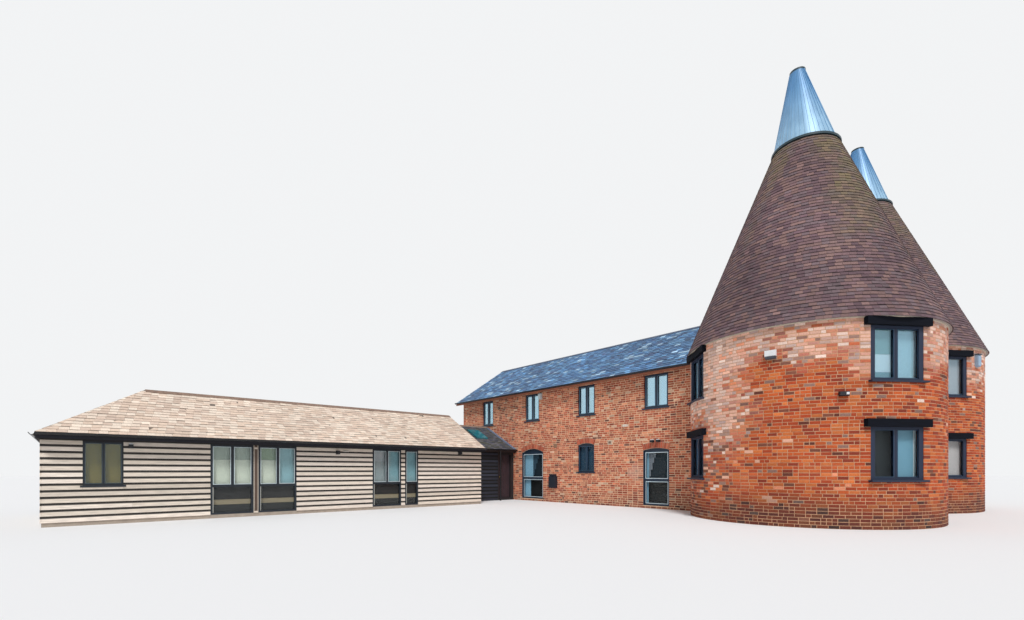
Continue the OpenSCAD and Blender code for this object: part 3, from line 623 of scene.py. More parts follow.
class LayingTree(Nodes):
    """The geometry tree that lays one solid on every point, turned, sized and toned by its attributes."""

    def __init__(self) -> None:
        """Builds the tree."""
        super().__init__(bpy.data.node_groups.new("lay_pieces", "GeometryNodeTree"))
        kinds = {"Points": "Geometry", "Piece": "Object", "Finish": "Material", "Loose": "Float", "Seed": "Int"}
        self.sockets = {name: self._socket(name, kind, "INPUT") for name, kind in kinds.items()}
        self._socket("Pieces", "Geometry", "OUTPUT")
        given = self.add("NodeGroupInput").outputs
        ends = {"Min": (-1, -1, -1), "Max": (1, 1, 1), "Seed": given["Seed"]}
        shift = self.live(self.add("FunctionNodeRandomValue", ends, data_type="FLOAT_VECTOR"))
        loose = self.add("ShaderNodeVectorMath", operation="SCALE")
        self.fill(loose, {0: shift, "Scale": given["Loose"]})
        move = self.add("GeometryNodeSetPosition", {"Geometry": given["Points"], "Offset": loose.outputs[0]})
        info = self.add("GeometryNodeObjectInfo", {"Object": given["Piece"]})
        turn = self.add("FunctionNodeEulerToRotation", {0: self._attribute("turn")})
        lay = self.add("GeometryNodeInstanceOnPoints", {
            "Points": move.outputs[0], "Instance": info.outputs["Geometry"],
            "Rotation": turn.outputs[0], "Scale": self._attribute("size"),
        })
        real = self.add("GeometryNodeRealizeInstances", {0: lay.outputs[0]})
        coat = self.add("GeometryNodeSetMaterial", {"Geometry": real.outputs[0], "Material": given["Finish"]})
        self.add("NodeGroupOutput", {0: coat.outputs[0]})

    def _socket(self, name: str, kind: str, way: str) -> str:
        """Adds a socket to the tree and gives its identifier."""
        return self.tree.interface.new_socket(name, in_out=way, socket_type=f"NodeSocket{kind}").identifier

    @staticmethod
    def live(node: Node) -> Socket:
        """Gives the output that a node's settings leave in use."""
        return next(o for o in node.outputs if o.enabled)

    def _attribute(self, name: str) -> Socket:
        """Adds a node that reads a vector of each point."""
        return self.live(self.add("GeometryNodeInputNamedAttribute", {"Name": name}, data_type="FLOAT_VECTOR"))


@dataclass
class Laying:
    """Points for the tree, gathered face by face."""

    places: list[Array] = field(default_factory=list)
    turns: list[Array] = field(default_factory=list)
    sizes: list[Array] = field(default_factory=list)
    tones: list[Array] = field(default_factory=list)

    def add(self, *arrays: Array | Sequence[float]) -> None:
        """Adds pieces by their places, turns, sizes and tones, one row of each array for each."""
        for kept, rows in zip((self.places, self.turns, self.sizes, self.tones), arrays, strict=True):
            kept.append(np.asarray(rows, float).reshape(-1, 3))

    def build(self, name: str, tree: LayingTree, unit: Obj, finish: Finish, loose: float = 0.0,
              seed: int = 1, trim: Moving | None = None) -> Obj:
        """Runs the tree and gives the pieces as one plain mesh.

        Args:
            name: the object's name.
            tree: the geometry tree.
            unit: the solid to lay.
            finish: what the pieces are made of.
            loose: how far a piece may stand from its place.
            seed: which random shifts.
            trim: moves the corners that pass a mitre, if there is one.

        Returns:
            The object, at the origin.
        """
        places = np.concatenate(self.places) - ORIGIN
        mesh = bpy.data.meshes.new(name + "_points")
        mesh.vertices.add(len(places))
        mesh.vertices.foreach_set("co", places.astype(np.float32).ravel())
        for key, rows in (("turn", self.turns), ("size", self.sizes), ("tone", self.tones)):
            values = np.concatenate(rows).astype(np.float32).ravel()
            mesh.attributes.new(key, "FLOAT_VECTOR", "POINT").data.foreach_set("vector", values)
        points = link(name + "_points", mesh)
        modifier = points.modifiers.new("lay", "NODES")
        modifier.node_group = tree.tree
        values = {"Piece": unit, "Finish": FINISHES.of(finish), "Loose": loose, "Seed": seed}
        for key, value in values.items():
            modifier[tree.sockets[key]] = value
        graph = bpy.context.evaluated_depsgraph_get()
        made = bpy.data.meshes.new_from_object(points.evaluated_get(graph))
        points.modifiers.clear()
        bpy.data.objects.remove(points)
        for key in ("turn", "size"):
            if key in made.attributes:
                made.attributes.remove(made.attributes[key])
        if trim is not None:
            self._trim(made, trim)
        LOG.info("%s: %d pieces, %d faces", name, len(places), len(made.polygons))
        return link(name, made)

    @staticmethod
    def _trim(mesh: bpy.types.Mesh, trim: Moving) -> None:
        """Cuts the pieces along a mitre and clears what that leaves without width.

        Args:
            mesh: the pieces.
            trim: moves the corners that pass the mitre.
        """
        corners = np.empty(3 * len(mesh.vertices), np.float32)
        mesh.vertices.foreach_get("co", corners)
        moved = trim(corners.reshape(-1, 3) + ORIGIN) - ORIGIN
        mesh.vertices.foreach_set("co", moved.astype(np.float32).ravel())
        work = bmesh.new()
        work.from_mesh(mesh)
        bmesh.ops.dissolve_degenerate(work, edges=work.edges, dist=1e-4)
        work.to_mesh(mesh)
        work.free()


@dataclass(frozen=True)
class Opening:
    """A hole in a wall, in the wall's own terms: middle, foot, width, height to the crown and rise of the arch."""

    middle: float
    foot: float
    width: float
    height: float
    rise: float = 0.0
    ring: float = 0.225

    @property
    def radius(self) -> float:
        """Radius of the arch's underside."""
        return (self.width**2 / 4 + self.rise**2) / (2 * self.rise)

    def half_at(self, z: float) -> float:
        """Measures what no brick of the wall fills at a height.

        Args:
            z: the height.

        Returns:
            Half the width, or 0.
        """
        if self.foot < z < self.foot + self.height - self.rise:
            return self.width / 2
        if self.rise > 0:
            up = z - (self.foot + self.height - self.radius)
            reach = self.radius + self.ring
            if self.foot < z and up < reach:
                slant = up * math.tan(math.asin(self.width / 2 / self.radius))
                return max(0.0, min(math.sqrt(reach**2 - up**2), slant))
        return 0.0

    def top(self) -> float:
        """Height of the highest point that the wall's own bricks leave free."""
        return self.foot + self.height + (self.ring if self.rise > 0 else 0.0)

    def mirrored(self) -> "Opening":
        """The same hole in a wall that is measured from the other side."""
        return Opening(-self.middle, self.foot, self.width, self.height, self.rise, self.ring)


@dataclass(frozen=True)
class Face:
    """A flat or round face that courses are laid on."""

    at: Triple
    facing: float
    pitch: float = 90.0
    radius: float = 0.0

    def turns(self, u: Array, tip: float = 0.0) -> Array:
        """How pieces on the face are turned.

        Args:
            u: distances along the face.
            tip: how far they are tipped back, in degrees.

        Returns:
            Turns about X, Y and Z in radians.
        """
        a = np.full(len(u), math.radians(self.facing + 90))
        if self.radius:
            a = a + u / self.radius
        return np.stack([np.full(len(u), math.radians(self.pitch - tip)), np.zeros(len(u)), a], 1)

    def points(self, u: Array, v: Array, out: Array | float) -> Array:
        """Places on the face.

        Args:
            u: distances along it to the right.
            v: distances up it.
            out: distances out from it.

        Returns:
            The places, one row each.
        """
        u, v = np.broadcast_arrays(np.asarray(u, float), np.asarray(v, float))
        pitch = math.radians(self.pitch)
        a = math.radians(self.facing) + (u / self.radius if self.radius else np.zeros_like(u))
        level = out * math.sin(pitch) - v * math.cos(pitch)
        z = self.at[2] + v * math.sin(pitch) + out * math.cos(pitch)
        if self.radius:
            r = self.radius + level
            return np.stack([self.at[0] + r * np.cos(a), self.at[1] + r * np.sin(a), z + 0 * u], 1)
        x = self.at[0] + level * np.cos(a) - u * np.sin(a)
        y = self.at[1] + level * np.sin(a) + u * np.cos(a)
        return np.stack([x, y, z + 0 * u], 1)


@dataclass(frozen=True)
class Slope:
    """A plain slope of a roof, by its rise over its level run."""

    rise: float
    run: float

    @property
    def ratio(self) -> float:
        """Rise for each metre inwards."""
        return self.rise / self.run

    @property
    def pitch(self) -> float:
        """Pitch in degrees."""
        return math.degrees(math.atan(self.ratio))

    @property
    def length(self) -> float:
        """Length up the slope."""
        return self.run / math.cos(math.radians(self.pitch))

    def under(self, thick: float) -> float:
        """How far the underside of a roof this thick is below its top, measured upright."""
        return thick * math.sqrt(1 + self.ratio**2)


def spans_of(v0: float, v1: float, u0: float, u1: float, openings: Iterable[Opening]) -> list[Stretch]:
    """Cuts one course at the openings.

    Args:
        v0: foot of the course.
        v1: top of the course.
        u0: left end of the course.
        u1: right end of the course.
        openings: the holes in the wall.

    Returns:
        Stretches as left, right, foot, top, and whether each end is at a jamb.
    """
    blocks = []
    trims = []
    for o in openings:
        half = o.half_at((v0 + v1) / 2)
        if half > 0:
            blocks.append((o.middle - half, o.middle + half))
        elif o.foot < v1 and v0 < o.top() and o.rise == 0:
            low, high = (v0, o.foot) if v0 < o.foot else (o.foot + o.height, v1)
            sides = (o.middle - o.width / 2, o.middle + o.width / 2)
            blocks.append(sides)
            trims.append((*sides, low, high, False, False))
    stretches = []
    left, at_jamb = u0, False
    for a, b in sorted(blocks):
        if a > left:
            stretches.append((left, min(a, u1), v0, v1, at_jamb, True))
        left, at_jamb = max(left, b), True
    if left < u1:
        stretches.append((left, u1, v0, v1, at_jamb, False))
    long, tall = LEAST_STRETCH
    return [s for s in stretches + trims if s[1] - s[0] > long and s[3] - s[2] > tall]


def cuts(rng: Random, length: float, modules: Sequence[float], shares: Sequence[float]) -> Array:
    """Divides a length into pieces of the given modules, slightly stretched to fit.

    Args:
        rng: the random numbers.
        length: what to divide.
        modules: lengths of the pieces with their joint.
        shares: how often each module comes.

    Returns:
        The places of the cuts, both ends included.
    """
    count = max(1, int(length / min(modules)) + 2)
    marks = np.concatenate([[0.0], np.cumsum(rng.choice(modules, count, p=shares))])
    last = max(1, int(np.argmin(np.abs(marks - length))))
    return marks[: last + 1] * (length / marks[last])


@dataclass
class Courses:
    """Courses of like pieces up a face, in the tones of the wall or roof."""

    face: Face
    width: Width
    height: float
    tones: Toning
    seed: int
    openings: Sequence[Opening] = ()

    def pieces(self, rng: Random) -> Pieces:
        """Gives the place, turn and size of each piece."""
        raise NotImplementedError

    def stretches(self, gauge: float, tall: float, least: Pair) -> Iterator[Stretch]:
        """Gives what the openings leave of each course.

        Args:
            gauge: from the foot of one course to the next.
            tall: height of a course.
            least: length and height under which a course is left out.

        Yields:
            Stretches, as `spans_of` gives them.
        """
        for i in range(math.ceil(self.height / gauge)):
            v0, v1 = i * gauge, min(i * gauge + tall, self.height)
            u0, u1 = self.width((v0 + v1) / 2)
            if u1 - u0 >= least[0] and v1 - v0 >= least[1]:
                yield from spans_of(v0, v1, u0, u1, self.openings)

    def kept(self, places: Array) -> Array:
        """Tells which pieces stay."""
        return np.full(len(places), True)

    def lay(self, to: Laying) -> None:
        """Adds the pieces to a laying.

        Args:
            to: the laying.
        """
        rng = np.random.default_rng(self.seed)
        places, turns, sizes = self.pieces(rng)
        tones, kept = self.tones(rng, places), self.kept(places)
        to.add(places[kept], turns[kept], sizes[kept], tones[kept])


@dataclass(kw_only=True)
class BrickCourses(Courses):
    """Courses of brick that stand a little proud of their mortar, in headers and stretchers."""

    course: float = 0.08
    lengths: Pair = (0.225, 0.1125)
    shares: Pair = (0.68, 0.32)
    joint: float = 0.011
    proud: float = 0.005
    depth: float = 0.03
    jamb_depth: float = 0.1
    overlap: float = 0.003
    uneven: float = 0.0012
    askew: float = 0.006

    def pieces(self, rng: Random) -> Pieces:
        """Gives the place, turn and size of each brick.

        Args:
            rng: the random numbers.

        Returns:
            Places, turns and sizes, one row of each for each piece.
        """
        rows = []
        for a, b, low, high, left_jamb, right_jamb in self.stretches(self.course, self.course, LEAST_BRICKS):
            marks = a + cuts(rng, b - a, self.lengths, self.shares)
            for n in range(len(marks) - 1):
                at_left = left_jamb and n == 0
                at_right = right_jamb and n == len(marks) - 2
                lo = marks[n] + (-self.overlap if at_left else self.joint / 2)
                hi = marks[n + 1] + (self.overlap if at_right else -self.joint / 2)
                deep = self.jamb_depth if at_left or at_right else self.depth
                rows.append(((lo + hi) / 2, low + self.joint / 2, hi - lo, high - low - self.joint, deep))
        u, v, wide, high, deep = np.array(rows).T
        places = self.face.points(u, v, self.proud + rng.normal(0, self.uneven, len(u)))
        turns = self.face.turns(u)
        turns += rng.normal(0, self.askew, turns.shape)
        return places, turns, np.stack([wide, np.maximum(high, 0.01), deep], 1)


@dataclass(kw_only=True)
class PlateCourses(Courses):
    """Overlapping courses of slates or tiles up a slope, in whole plates round a cone."""

    gauge: float
    plate: float
    thick: float
    lift: float
    clear: Moving | None = None
    gap: float = 0.003
    cover: float = 1.9
    rough: float = 0.006
    sink: float = 0.004
    uneven: Pair = (0.0015, 0.002)
    askew: float = 0.008

    def kept(self, places: Array) -> Array:
        """Tells which plates are clear of what stands in the slope."""
        return super().kept(places) if self.clear is None else self.clear(places)

    def _row(self, rng: Random, v: float, odd: int) -> tuple[Array, Array]:
        """Divides one course into plates.

        Args:
            rng: the random numbers.
            v: the middle of the course up the slope.
            odd: 1 on every second course.

        Returns:
            The middles and the widths.
        """
        u0, u1 = self.width(v)
        wide = u1 - u0
        if self.face.radius:
            wide *= (self.face.radius - v * math.cos(math.radians(self.face.pitch))) / self.face.radius
        if wide < 0.05:
            return np.zeros(0), np.zeros(0)
        n = max(1, round(wide / self.plate))
        if self.face.radius:
            shift = 0.5 * odd + rng.uniform(0, 1)
            return u0 + (np.arange(n) + 0.5 - shift) / n * (u1 - u0), np.full(n, wide / n)
        edges = u0 + np.clip((np.arange(n + 2) - 0.5 * odd) / n, 0, 1) * (u1 - u0)
        return (edges[:-1] + edges[1:]) / 2, np.diff(edges)

    def pieces(self, rng: Random) -> Pieces:
        """Gives the place, turn and size of each plate.

        Args:
            rng: the random numbers.

        Returns:
            Places, turns and sizes, one row of each for each piece.
        """
        rows = []
        count = max(1, round(self.height / self.gauge))
        gauge = self.height / count
        for i in range(count):
            v = i * gauge
            long = min(gauge * self.cover, max(gauge, self.height - v))
            for middle, wide in zip(*self._row(rng, v + gauge / 2, i % 2)):
                if wide > 0.03:
                    rows.append((middle, v, wide - self.gap, long))
        u, v, wide, long = np.array(rows).T
        tip = math.degrees(math.asin(min(0.5, self.lift / (gauge * self.cover))))
        v = v + rng.normal(0, self.rough, len(v)) * (v > 0.01)
        if self.face.radius:
            out = rng.normal(0, self.uneven[1], len(u)).clip(-0.006, 0) - self.sink
        else:
            out = rng.normal(0, self.uneven[0], len(u)) + self.lift
        turns = self.face.turns(u, tip)
        turns += rng.normal(0, self.askew, turns.shape)
        return self.face.points(u, v, out), turns, np.stack([wide, long, np.full(len(u), self.thick)], 1)


@dataclass(kw_only=True)
class BoardCourses(Courses):
    """Feather-edged boards that lap up a wall."""

    gauge: float = 0.155
    board: float = 0.17
    thick: float = 0.026
    lengths: Triple = (3.0, 4.2, 2.1)
    shares: Triple = (0.4, 0.3, 0.3)
    joint: float = 0.002

    def pieces(self, rng: Random) -> Pieces:
        """Gives the place, turn and size of each board.

        Args:
            rng: the random numbers.

        Returns:
            Places, turns and sizes, one row of each for each piece.
        """
        rows = []
        for a, b, low, high, *_ in self.stretches(self.gauge, self.board, LEAST_BOARDS):
            marks = a + cuts(rng, b - a, self.lengths, self.shares)
            rows += [((p + q) / 2, low, q - p - self.joint, high - low) for p, q in zip(marks[:-1], marks[1:])]
        u, v, wide, high = np.array(rows).T
        sizes = np.stack([wide, high, self.thick + rng.normal(0, 0.001, len(u))], 1)
        return self.face.points(u, v, 0.0), self.face.turns(u), sizes


def shades(rng: Random, count: int, tones: Sequence[Tone], shares: object, spread: float) -> Array:
    """Picks a tone for each piece and varies it.

    Args:
        rng: the random numbers.
        count: how many pieces.
        tones: the tones to pick from.
        shares: how likely each tone is, one row for all pieces or one for each.
        spread: how far a piece may be lighter or darker.

    Returns:
        One linear colour for each piece.
    """
    shares = np.broadcast_to(np.asarray(shares, float), (count, len(tones)))
    totals = np.cumsum(shares / shares.sum(1, keepdims=True), 1)
    picked = (rng.uniform(0, 1, (count, 1)) > totals).sum(1).clip(0, len(tones) - 1)
    return np.array(tones)[picked] * np.exp(rng.normal(0, spread, (count, 1)))


def turned(places: Array, axis: Pair) -> Array:
    """Gives the direction of places from an upright axis, in degrees."""
    return np.degrees(np.arctan2(places[:, 1] - axis[1], places[:, 0] - axis[0]))


@dataclass(frozen=True)
class EvenTones:
    """Tones that are alike over a whole face, apart from patches of a strength, a width and a seed."""

    tones: tuple[Tone, ...]
    spread: float
    patch: tuple[float, float, int] | None = None
    shares: tuple[float, ...] | None = None

    def __call__(self, rng: Random, places: Array) -> Array:
        """Gives each piece its tone.

        Args:
            rng: the random numbers.
            places: where the pieces lie, one row each.

        Returns:
            One linear colour for each piece.
        """
        shares = self.shares or np.full(len(self.tones), 1 / len(self.tones))
        made = shades(rng, len(places), self.tones, shares, self.spread)
        if self.patch is None:
            return made
        strength, period, seed = self.patch
        return made * (1 + strength * drift(places, period, seed))[:, None]


RANGE_SLATES = EvenTones(
    (srgb(78, 126, 174), srgb(60, 102, 148), srgb(98, 148, 192), srgb(158, 192, 220), srgb(66, 92, 134)),
    0.2, (0.14, 1.8, 31), (0.36, 0.3, 0.2, 0.07, 0.07))
WING_SLATES = EvenTones(
    (srgb(240, 220, 202), srgb(232, 208, 188), srgb(246, 228, 210), srgb(224, 200, 182)), 0.05, (0.06, 1.2, 42))
CONE_TILES = EvenTones(
    (srgb(121, 94, 97), srgb(105, 81, 88), srgb(133, 104, 101), srgb(113, 94, 99)), 0.11, (0.12, 1.4, 51))
LOBBY_TILES = EvenTones((srgb(96, 98, 108), srgb(80, 84, 96), srgb(108, 108, 114), srgb(92, 94, 84)), 0.14)
# The wing's and the lobby's boards are one cladding in two copies: pale as it looks in sun on the wing, which is
# painted light, and dark as it looks in shade on the lobby, which is painted shade.
SUNLIT_WING_BOARDS = EvenTones((srgb(240, 226, 210), srgb(230, 216, 200), srgb(248, 234, 220)), 0.06)
SHADED_LOBBY_BOARDS = EvenTones((srgb(42, 44, 56), srgb(34, 36, 46), srgb(50, 54, 68)), 0.06)
ARCH_BRICKS = EvenTones((srgb(196, 100, 72), srgb(178, 86, 62), srgb(208, 122, 90)), 0.12, shares=(0.4, 0.3, 0.3))
RANGE_BRICKS = EvenTones(
    (srgb(208, 118, 86), srgb(190, 96, 70), srgb(222, 146, 110), srgb(162, 80, 62), srgb(120, 72, 62),
     srgb(224, 184, 156)), 0.15, (0.12, 2.5, 11), (0.36, 0.25, 0.2, 0.1, 0.04, 0.05))


@dataclass(frozen=True)
class RangeBrickTones:
    """Red bricks of the range, darker at the foot, with one pale patch on the front.

    `patch` is how far along and up the middle of the pale patch is, and its reach.
    """

    base: EvenTones = RANGE_BRICKS
    patch: Triple = (10.6, 1.25, 0.38)
    pale: Tone = srgb(206, 160, 146)

    def __call__(self, rng: Random, places: Array) -> Array:
        """Gives each brick its tone from its place.

        Args:
            rng: the random numbers.
            places: where the pieces lie, one row each.

        Returns:
            One linear colour for each piece.
        """
        made = self.base(rng, places)
        x, z, reach = self.patch
        away = np.hypot(places[:, 0] - x, places[:, 2] - z) / reach + 0.25 * drift(places, 0.3, 13)
        pale = (0.6 * (1 - smooth(away, 0.5, 1.1)) * (places[:, 1] < 1.0))[:, None]
        made = made * (1 - pale) + np.array(self.pale) * pale
        foot = 1 - smooth(places[:, 2] + 0.15 * drift(places, 0.7, 12), 0.1, 0.75)
        return made * (1 - 0.4 * foot[:, None]) + foot[:, None] * 0.012


@dataclass(frozen=True)
class KilnBrickTones:
    """Mixed bricks of a kiln: buff and pink to the left and above, orange-red in the middle, darker at the foot; the
    upper left is also brightened, partly by its paler bricks and partly by painted light.
    """

    axis: Pair
    warm: tuple[Tone, ...] = (srgb(194, 88, 38), srgb(174, 68, 30), srgb(208, 112, 56), srgb(144, 54, 30))
    pale: tuple[Tone, ...] = (srgb(232, 176, 150), srgb(224, 140, 104), srgb(180, 152, 146), srgb(240, 212, 198))
    grey: tuple[Tone, ...] = (srgb(122, 70, 52), srgb(100, 48, 34), srgb(146, 110, 98))
    bloom: Tone = srgb(246, 212, 196)
    warm_shares: tuple[float, ...] = (0.4, 0.3, 0.18, 0.12)
    pale_shares: tuple[float, ...] = (0.34, 0.3, 0.2, 0.16)
    grey_shares: tuple[float, ...] = (0.4, 0.3, 0.3)

    def __call__(self, rng: Random, places: Array) -> Array:
        """Gives each brick its tone from its place.

        Args:
            rng: the random numbers.
            places: where the pieces lie, one row each.

        Returns:
            One linear colour for each piece.
        """
        turn = turned(places, self.axis)
        z = places[:, 2] + 0.35 * drift(places, 1.2, 21)
        left = 1 - smooth(turn + 6 * drift(places, 1.0, 22), -112, -84)
        left = np.where(turn > 20, 0.45, left)
        up = smooth(z, 1.8, 3.0)
        pale = 0.16 * left + 0.64 * left * up + 0.5 * smooth(z, 3.4, 4.1) + 0.05 * drift(places, 1.6, 23)
        pale = np.clip(pale, 0.01, 0.9) * (0.35 + 0.65 * smooth(z, 0.6, 1.5))
        grey = np.clip(0.07 + 0.05 * left + 0.06 * drift(places, 0.9, 24), 0.01, 0.2)
        warm = (1 - pale - grey).clip(0.05)
        groups = ((warm, self.warm_shares), (pale, self.pale_shares), (grey, self.grey_shares))
        shares = np.concatenate([amount[:, None] * np.array(parts) for amount, parts in groups], 1)
        made = shades(rng, len(places), self.warm + self.pale + self.grey, shares, 0.09)
        # partly painted light: brightens the left and its upper part on top of the paler bricks there, besides slow
        # random patches
        made *= (1 + 0.1 * drift(places, 1.3, 26) + 0.16 * left + 0.3 * left * up)[:, None]
        bloom = (np.clip(1.1 * pale - 0.04, 0, 0.8) * rng.uniform(0.15, 1.2, len(places)))[:, None]
        made = made * (1 - bloom) + np.array(self.bloom) * bloom
        foot = 1 - smooth(places[:, 2] + 0.18 * drift(places, 0.6, 25), 0.15, 1.1)
        return made * (1 - 0.7 * foot[:, None]) + foot[:, None] * 0.014


@dataclass(frozen=True)
class ConeTileTones:
    """Plain clay tiles, with moss towards the top of the cone and most of it on one side."""

    axis: Pair
    eaves_z: float
    height: float
    mossy: float
    base: EvenTones = CONE_TILES
    moss: Tone = srgb(146, 140, 78)

    def __call__(self, rng: Random, places: Array) -> Array:
        """Gives each tile its tone from its place.

        Args:
            rng: the random numbers.
            places: where the pieces lie, one row each.

        Returns:
            One linear colour for each piece.
        """
        made = self.base(rng, places)
        up = (places[:, 2] - self.eaves_z) / self.height
        side = np.cos(np.radians(turned(places, self.axis) + 30)).clip(0)
        cover = smooth(up + 0.25 * drift(places, 0.8, 52) + 0.25 * side, 0.72, 1.12)
        share = (cover * self.mossy * rng.uniform(0.3, 1.0, len(places)))[:, None]
        return made * (1 - share) + np.array(self.moss) * share


@dataclass
class Dressing:
    """What every part of the house is built with."""

    tree: LayingTree
    units: Units
    nodes: dict[str, Obj]

    def coat(self, group: str, **finishes: Coat) -> None:
        """Gives each CAD node its finish, under what its name says after the group's.

        Args:
            group: the first word or words of the nodes' names.
            finishes: the finish of each, by the rest of its name.
        """
        for name, finish in finishes.items():
            slots = self.nodes[f"{group}_{name}"].data.materials
            slots.clear()
            slots.append(FINISHES.of(finish))

    def ride(self, obj: Obj, body: str = "house") -> Obj:
        """Ties a piece to its body.

        Args:
            obj: the piece.
            body: its body.

        Returns:
            The piece.
        """
        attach(obj, body)
        LOG.info("%s rides on %s", obj.name, body)
        return obj

    def lay(self, name: str, what: Laying | Iterable[Courses], unit: Obj, finish: Finish, slot: str,
            **how: object) -> Obj:
        """Lays a laying, or fields of courses, as one piece.

        Args:
            name: the piece's name.
            what: the laying or the fields.
            unit: the solid to lay.
            finish: what the pieces are made of.
            slot: the record's finish; not used.
            how: what else `Laying.build` is told.

        Returns:
            The piece, which rides on the house.
        """
        laying = what
        if not isinstance(what, Laying):
            laying = Laying()
            for courses in what:
                courses.lay(laying)
        return self.ride(laying.build(name, self.tree, unit, finish, **how))

    def bricks(self, name: str, courses: BrickCourses, slot: str) -> None:
        """Lays a field of bricks as one piece, each a little out of line."""
        self.lay(name, [courses], self.units.brick, BRICK, slot, loose=0.0008, seed=7)


@dataclass
class Range:
    """The two-storey brick range with its slated roof."""

    length: float = 13.03
    width: float = 5.8
    eaves_z: float = 4.835
    rise: float = 2.065
    eaves_out: float = 0.26
    verge: float = 0.28
    slope_t: float = 0.12
    reveal: float = 0.06
    back_end: float = 12.77
    corner: float = 0.004
    far_end: float = 0.02
    joint: float = 0.014
    high_at: tuple[float, ...] = (2.025, 5.18, 8.3, 11.47)
    high_w: tuple[float, ...] = (0.83, 0.9, 0.88, 0.98)
    high_z: float = 3.54
    high_h: float = 1.18
    tall: tuple[Opening, ...] = (Opening(5.205, 0.1, 1.35, 2.19, 0.16), Opening(11.48, 0.1, 1.04, 2.02, 0.07))
    low: Opening = Opening(8.285, 1.28, 0.86, 1.14, 0.08)
    low_back: tuple[Opening, ...] = (Opening(3.6, 1.28, 0.86, 1.14, 0.08), low)
    arch_brick: float = 0.078
    arch_joint: float = 0.01
    arch_depth: float = 0.09
    arch_out: float = 0.006

    @property
    def slope(self) -> Slope:
        """Either slope of the roof."""
        return Slope(self.rise, self.width / 2 + self.eaves_out)

    def under(self, y: float) -> float:
        """Height of the roof's underside over a place between front and back."""
        inwards = min(y, self.width - y) + self.eaves_out
        return self.eaves_z - self.slope.under(self.slope_t) + inwards * self.slope.ratio

    def windows(self) -> list[Opening]:
        """The upper windows of one long wall."""
        return [Opening(x, self.high_z, w, self.high_h) for x, w in zip(self.high_at, self.high_w)]

    def _gable_width(self, v: float) -> Pair:
        """Width of the gable at a height, cut under the slates."""
        inset = max(0.0, (v - self.under(0)) / self.slope.ratio)
        return inset, self.width - inset

    def brickwork(self, kit: Dressing) -> None:
        """Lays the bricks of both long walls and the left gable.

        Args:
            kit: what to build with.
        """
        back_holes = [o.mirrored() for o in [*self.windows(), *self.low_back]]
        for name, facing, y, width, top, holes, seed in (
            ("front", -90, 0, even(-self.corner, self.length + self.far_end), self.under(0),
             [*self.windows(), *self.tall, self.low], 101),
            ("back", 90, self.width, even(-self.back_end, self.corner), self.under(0), back_holes, 102),
            ("gable", 180, self.width, self._gable_width, self.under(self.width / 2), [], 103),
        ):
            courses = BrickCourses(Face((0, y, 0), facing), width, top, RangeBrickTones(), seed,
                                   openings=holes, joint=self.joint)
            kit.bricks(f"range_{name}_bricks", courses, "range_brick")

    def arches(self, kit: Dressing) -> None:
        """Lays the bricks on end over the arched openings.

        Args:
            kit: what to build with.
        """
        laying = Laying()
        rng = np.random.default_rng(104)
        front, back = Face((0, 0, 0), -90), Face((0, self.width, 0), 90)
        for face, o in [(front, o) for o in (*self.tall, self.low)] + [(back, o.mirrored()) for o in self.low_back]:
            half = math.asin(o.width / 2 / o.radius)
            count = 2 * round(half * (o.radius + o.ring / 2) / self.arch_brick) + 1
            step = 2 * half / count
            wide = step * (o.radius + o.ring / 2) - self.arch_joint
            upright = Matrix.Rotation(math.radians(face.facing + 90), 3, "Z") @ Matrix.Rotation(math.pi / 2, 3, "X")
            for i in range(count):
                spin = -half + (i + 0.5) * step
                u = o.middle + math.sin(spin) * o.radius
                v = o.foot + o.height - o.radius + math.cos(spin) * o.radius
                place = face.points(np.array([u]), np.array([v]), self.arch_out)
                turn = upright @ Matrix.Rotation(-spin, 3, "Z")
                size = [wide, o.ring - self.arch_out, self.arch_depth]
                laying.add(place, list(turn.to_euler("XYZ")), size, ARCH_BRICKS(rng, place))
        kit.lay("arch_bricks", laying, kit.units.brick, BRICK, "arch_brick")

    def slates(self, kit: Dressing, clear: Moving) -> None:
        """Lays the slates of both slopes, clear of the kilns.

        Args:
            kit: what to build with.
            clear: tells which places are outside the kilns.
        """
        verge, far = self.verge, self.length + self.verge
        for name, facing, y, width, seed in (
            ("front", -90.0, -self.eaves_out, even(-verge, far), 111),
            ("back", 90.0, self.width + self.eaves_out, even(-far, verge), 112),
        ):
            slates = PlateCourses(Face((0, y, self.eaves_z), facing, self.slope.pitch), width, self.slope.length,
                                  RANGE_SLATES, seed, gauge=0.18, plate=0.23, thick=0.007, lift=0.016, clear=clear)
            kit.lay(f"range_{name}_slates", [slates], kit.units.tile, SLATE, "slate")

    def dress(self, kit: Dressing, clear: Moving) -> None:
        """Builds and coats the whole range.

        Args:
            kit: what to build with.
            clear: tells which places are outside the kilns.
        """
        skin = Masonry("range_masonry", srgb(236, 202, 168), srgb(158, 84, 64),
                       planes=((1, 0.0, False), (1, self.width, True), (0, 0.0, False)))
        # The range's panes above 3 m get a strong painted sky reflection.
        kit.coat("range", front_wall=skin, back_wall=skin, left_gable=skin, right_gable=skin, arches=ARCH_BACK,
                 roof=ROOF_STONE, ridge_tiles=RANGE_RIDGE, gutters=RANGE_GUTTER, window_frames=RANGE_FRAME,
                 glass=Glazing("range_glass_face", share=0.6, sky=srgb(204, 240, 255)))
        self.brickwork(kit)
        self.arches(kit)
        self.slates(kit, clear)


@dataclass(frozen=True)
class KilnWindow:
    """A kiln's window: which way it looks, its foot and its height."""

    facing: float
    foot: float
    height: float


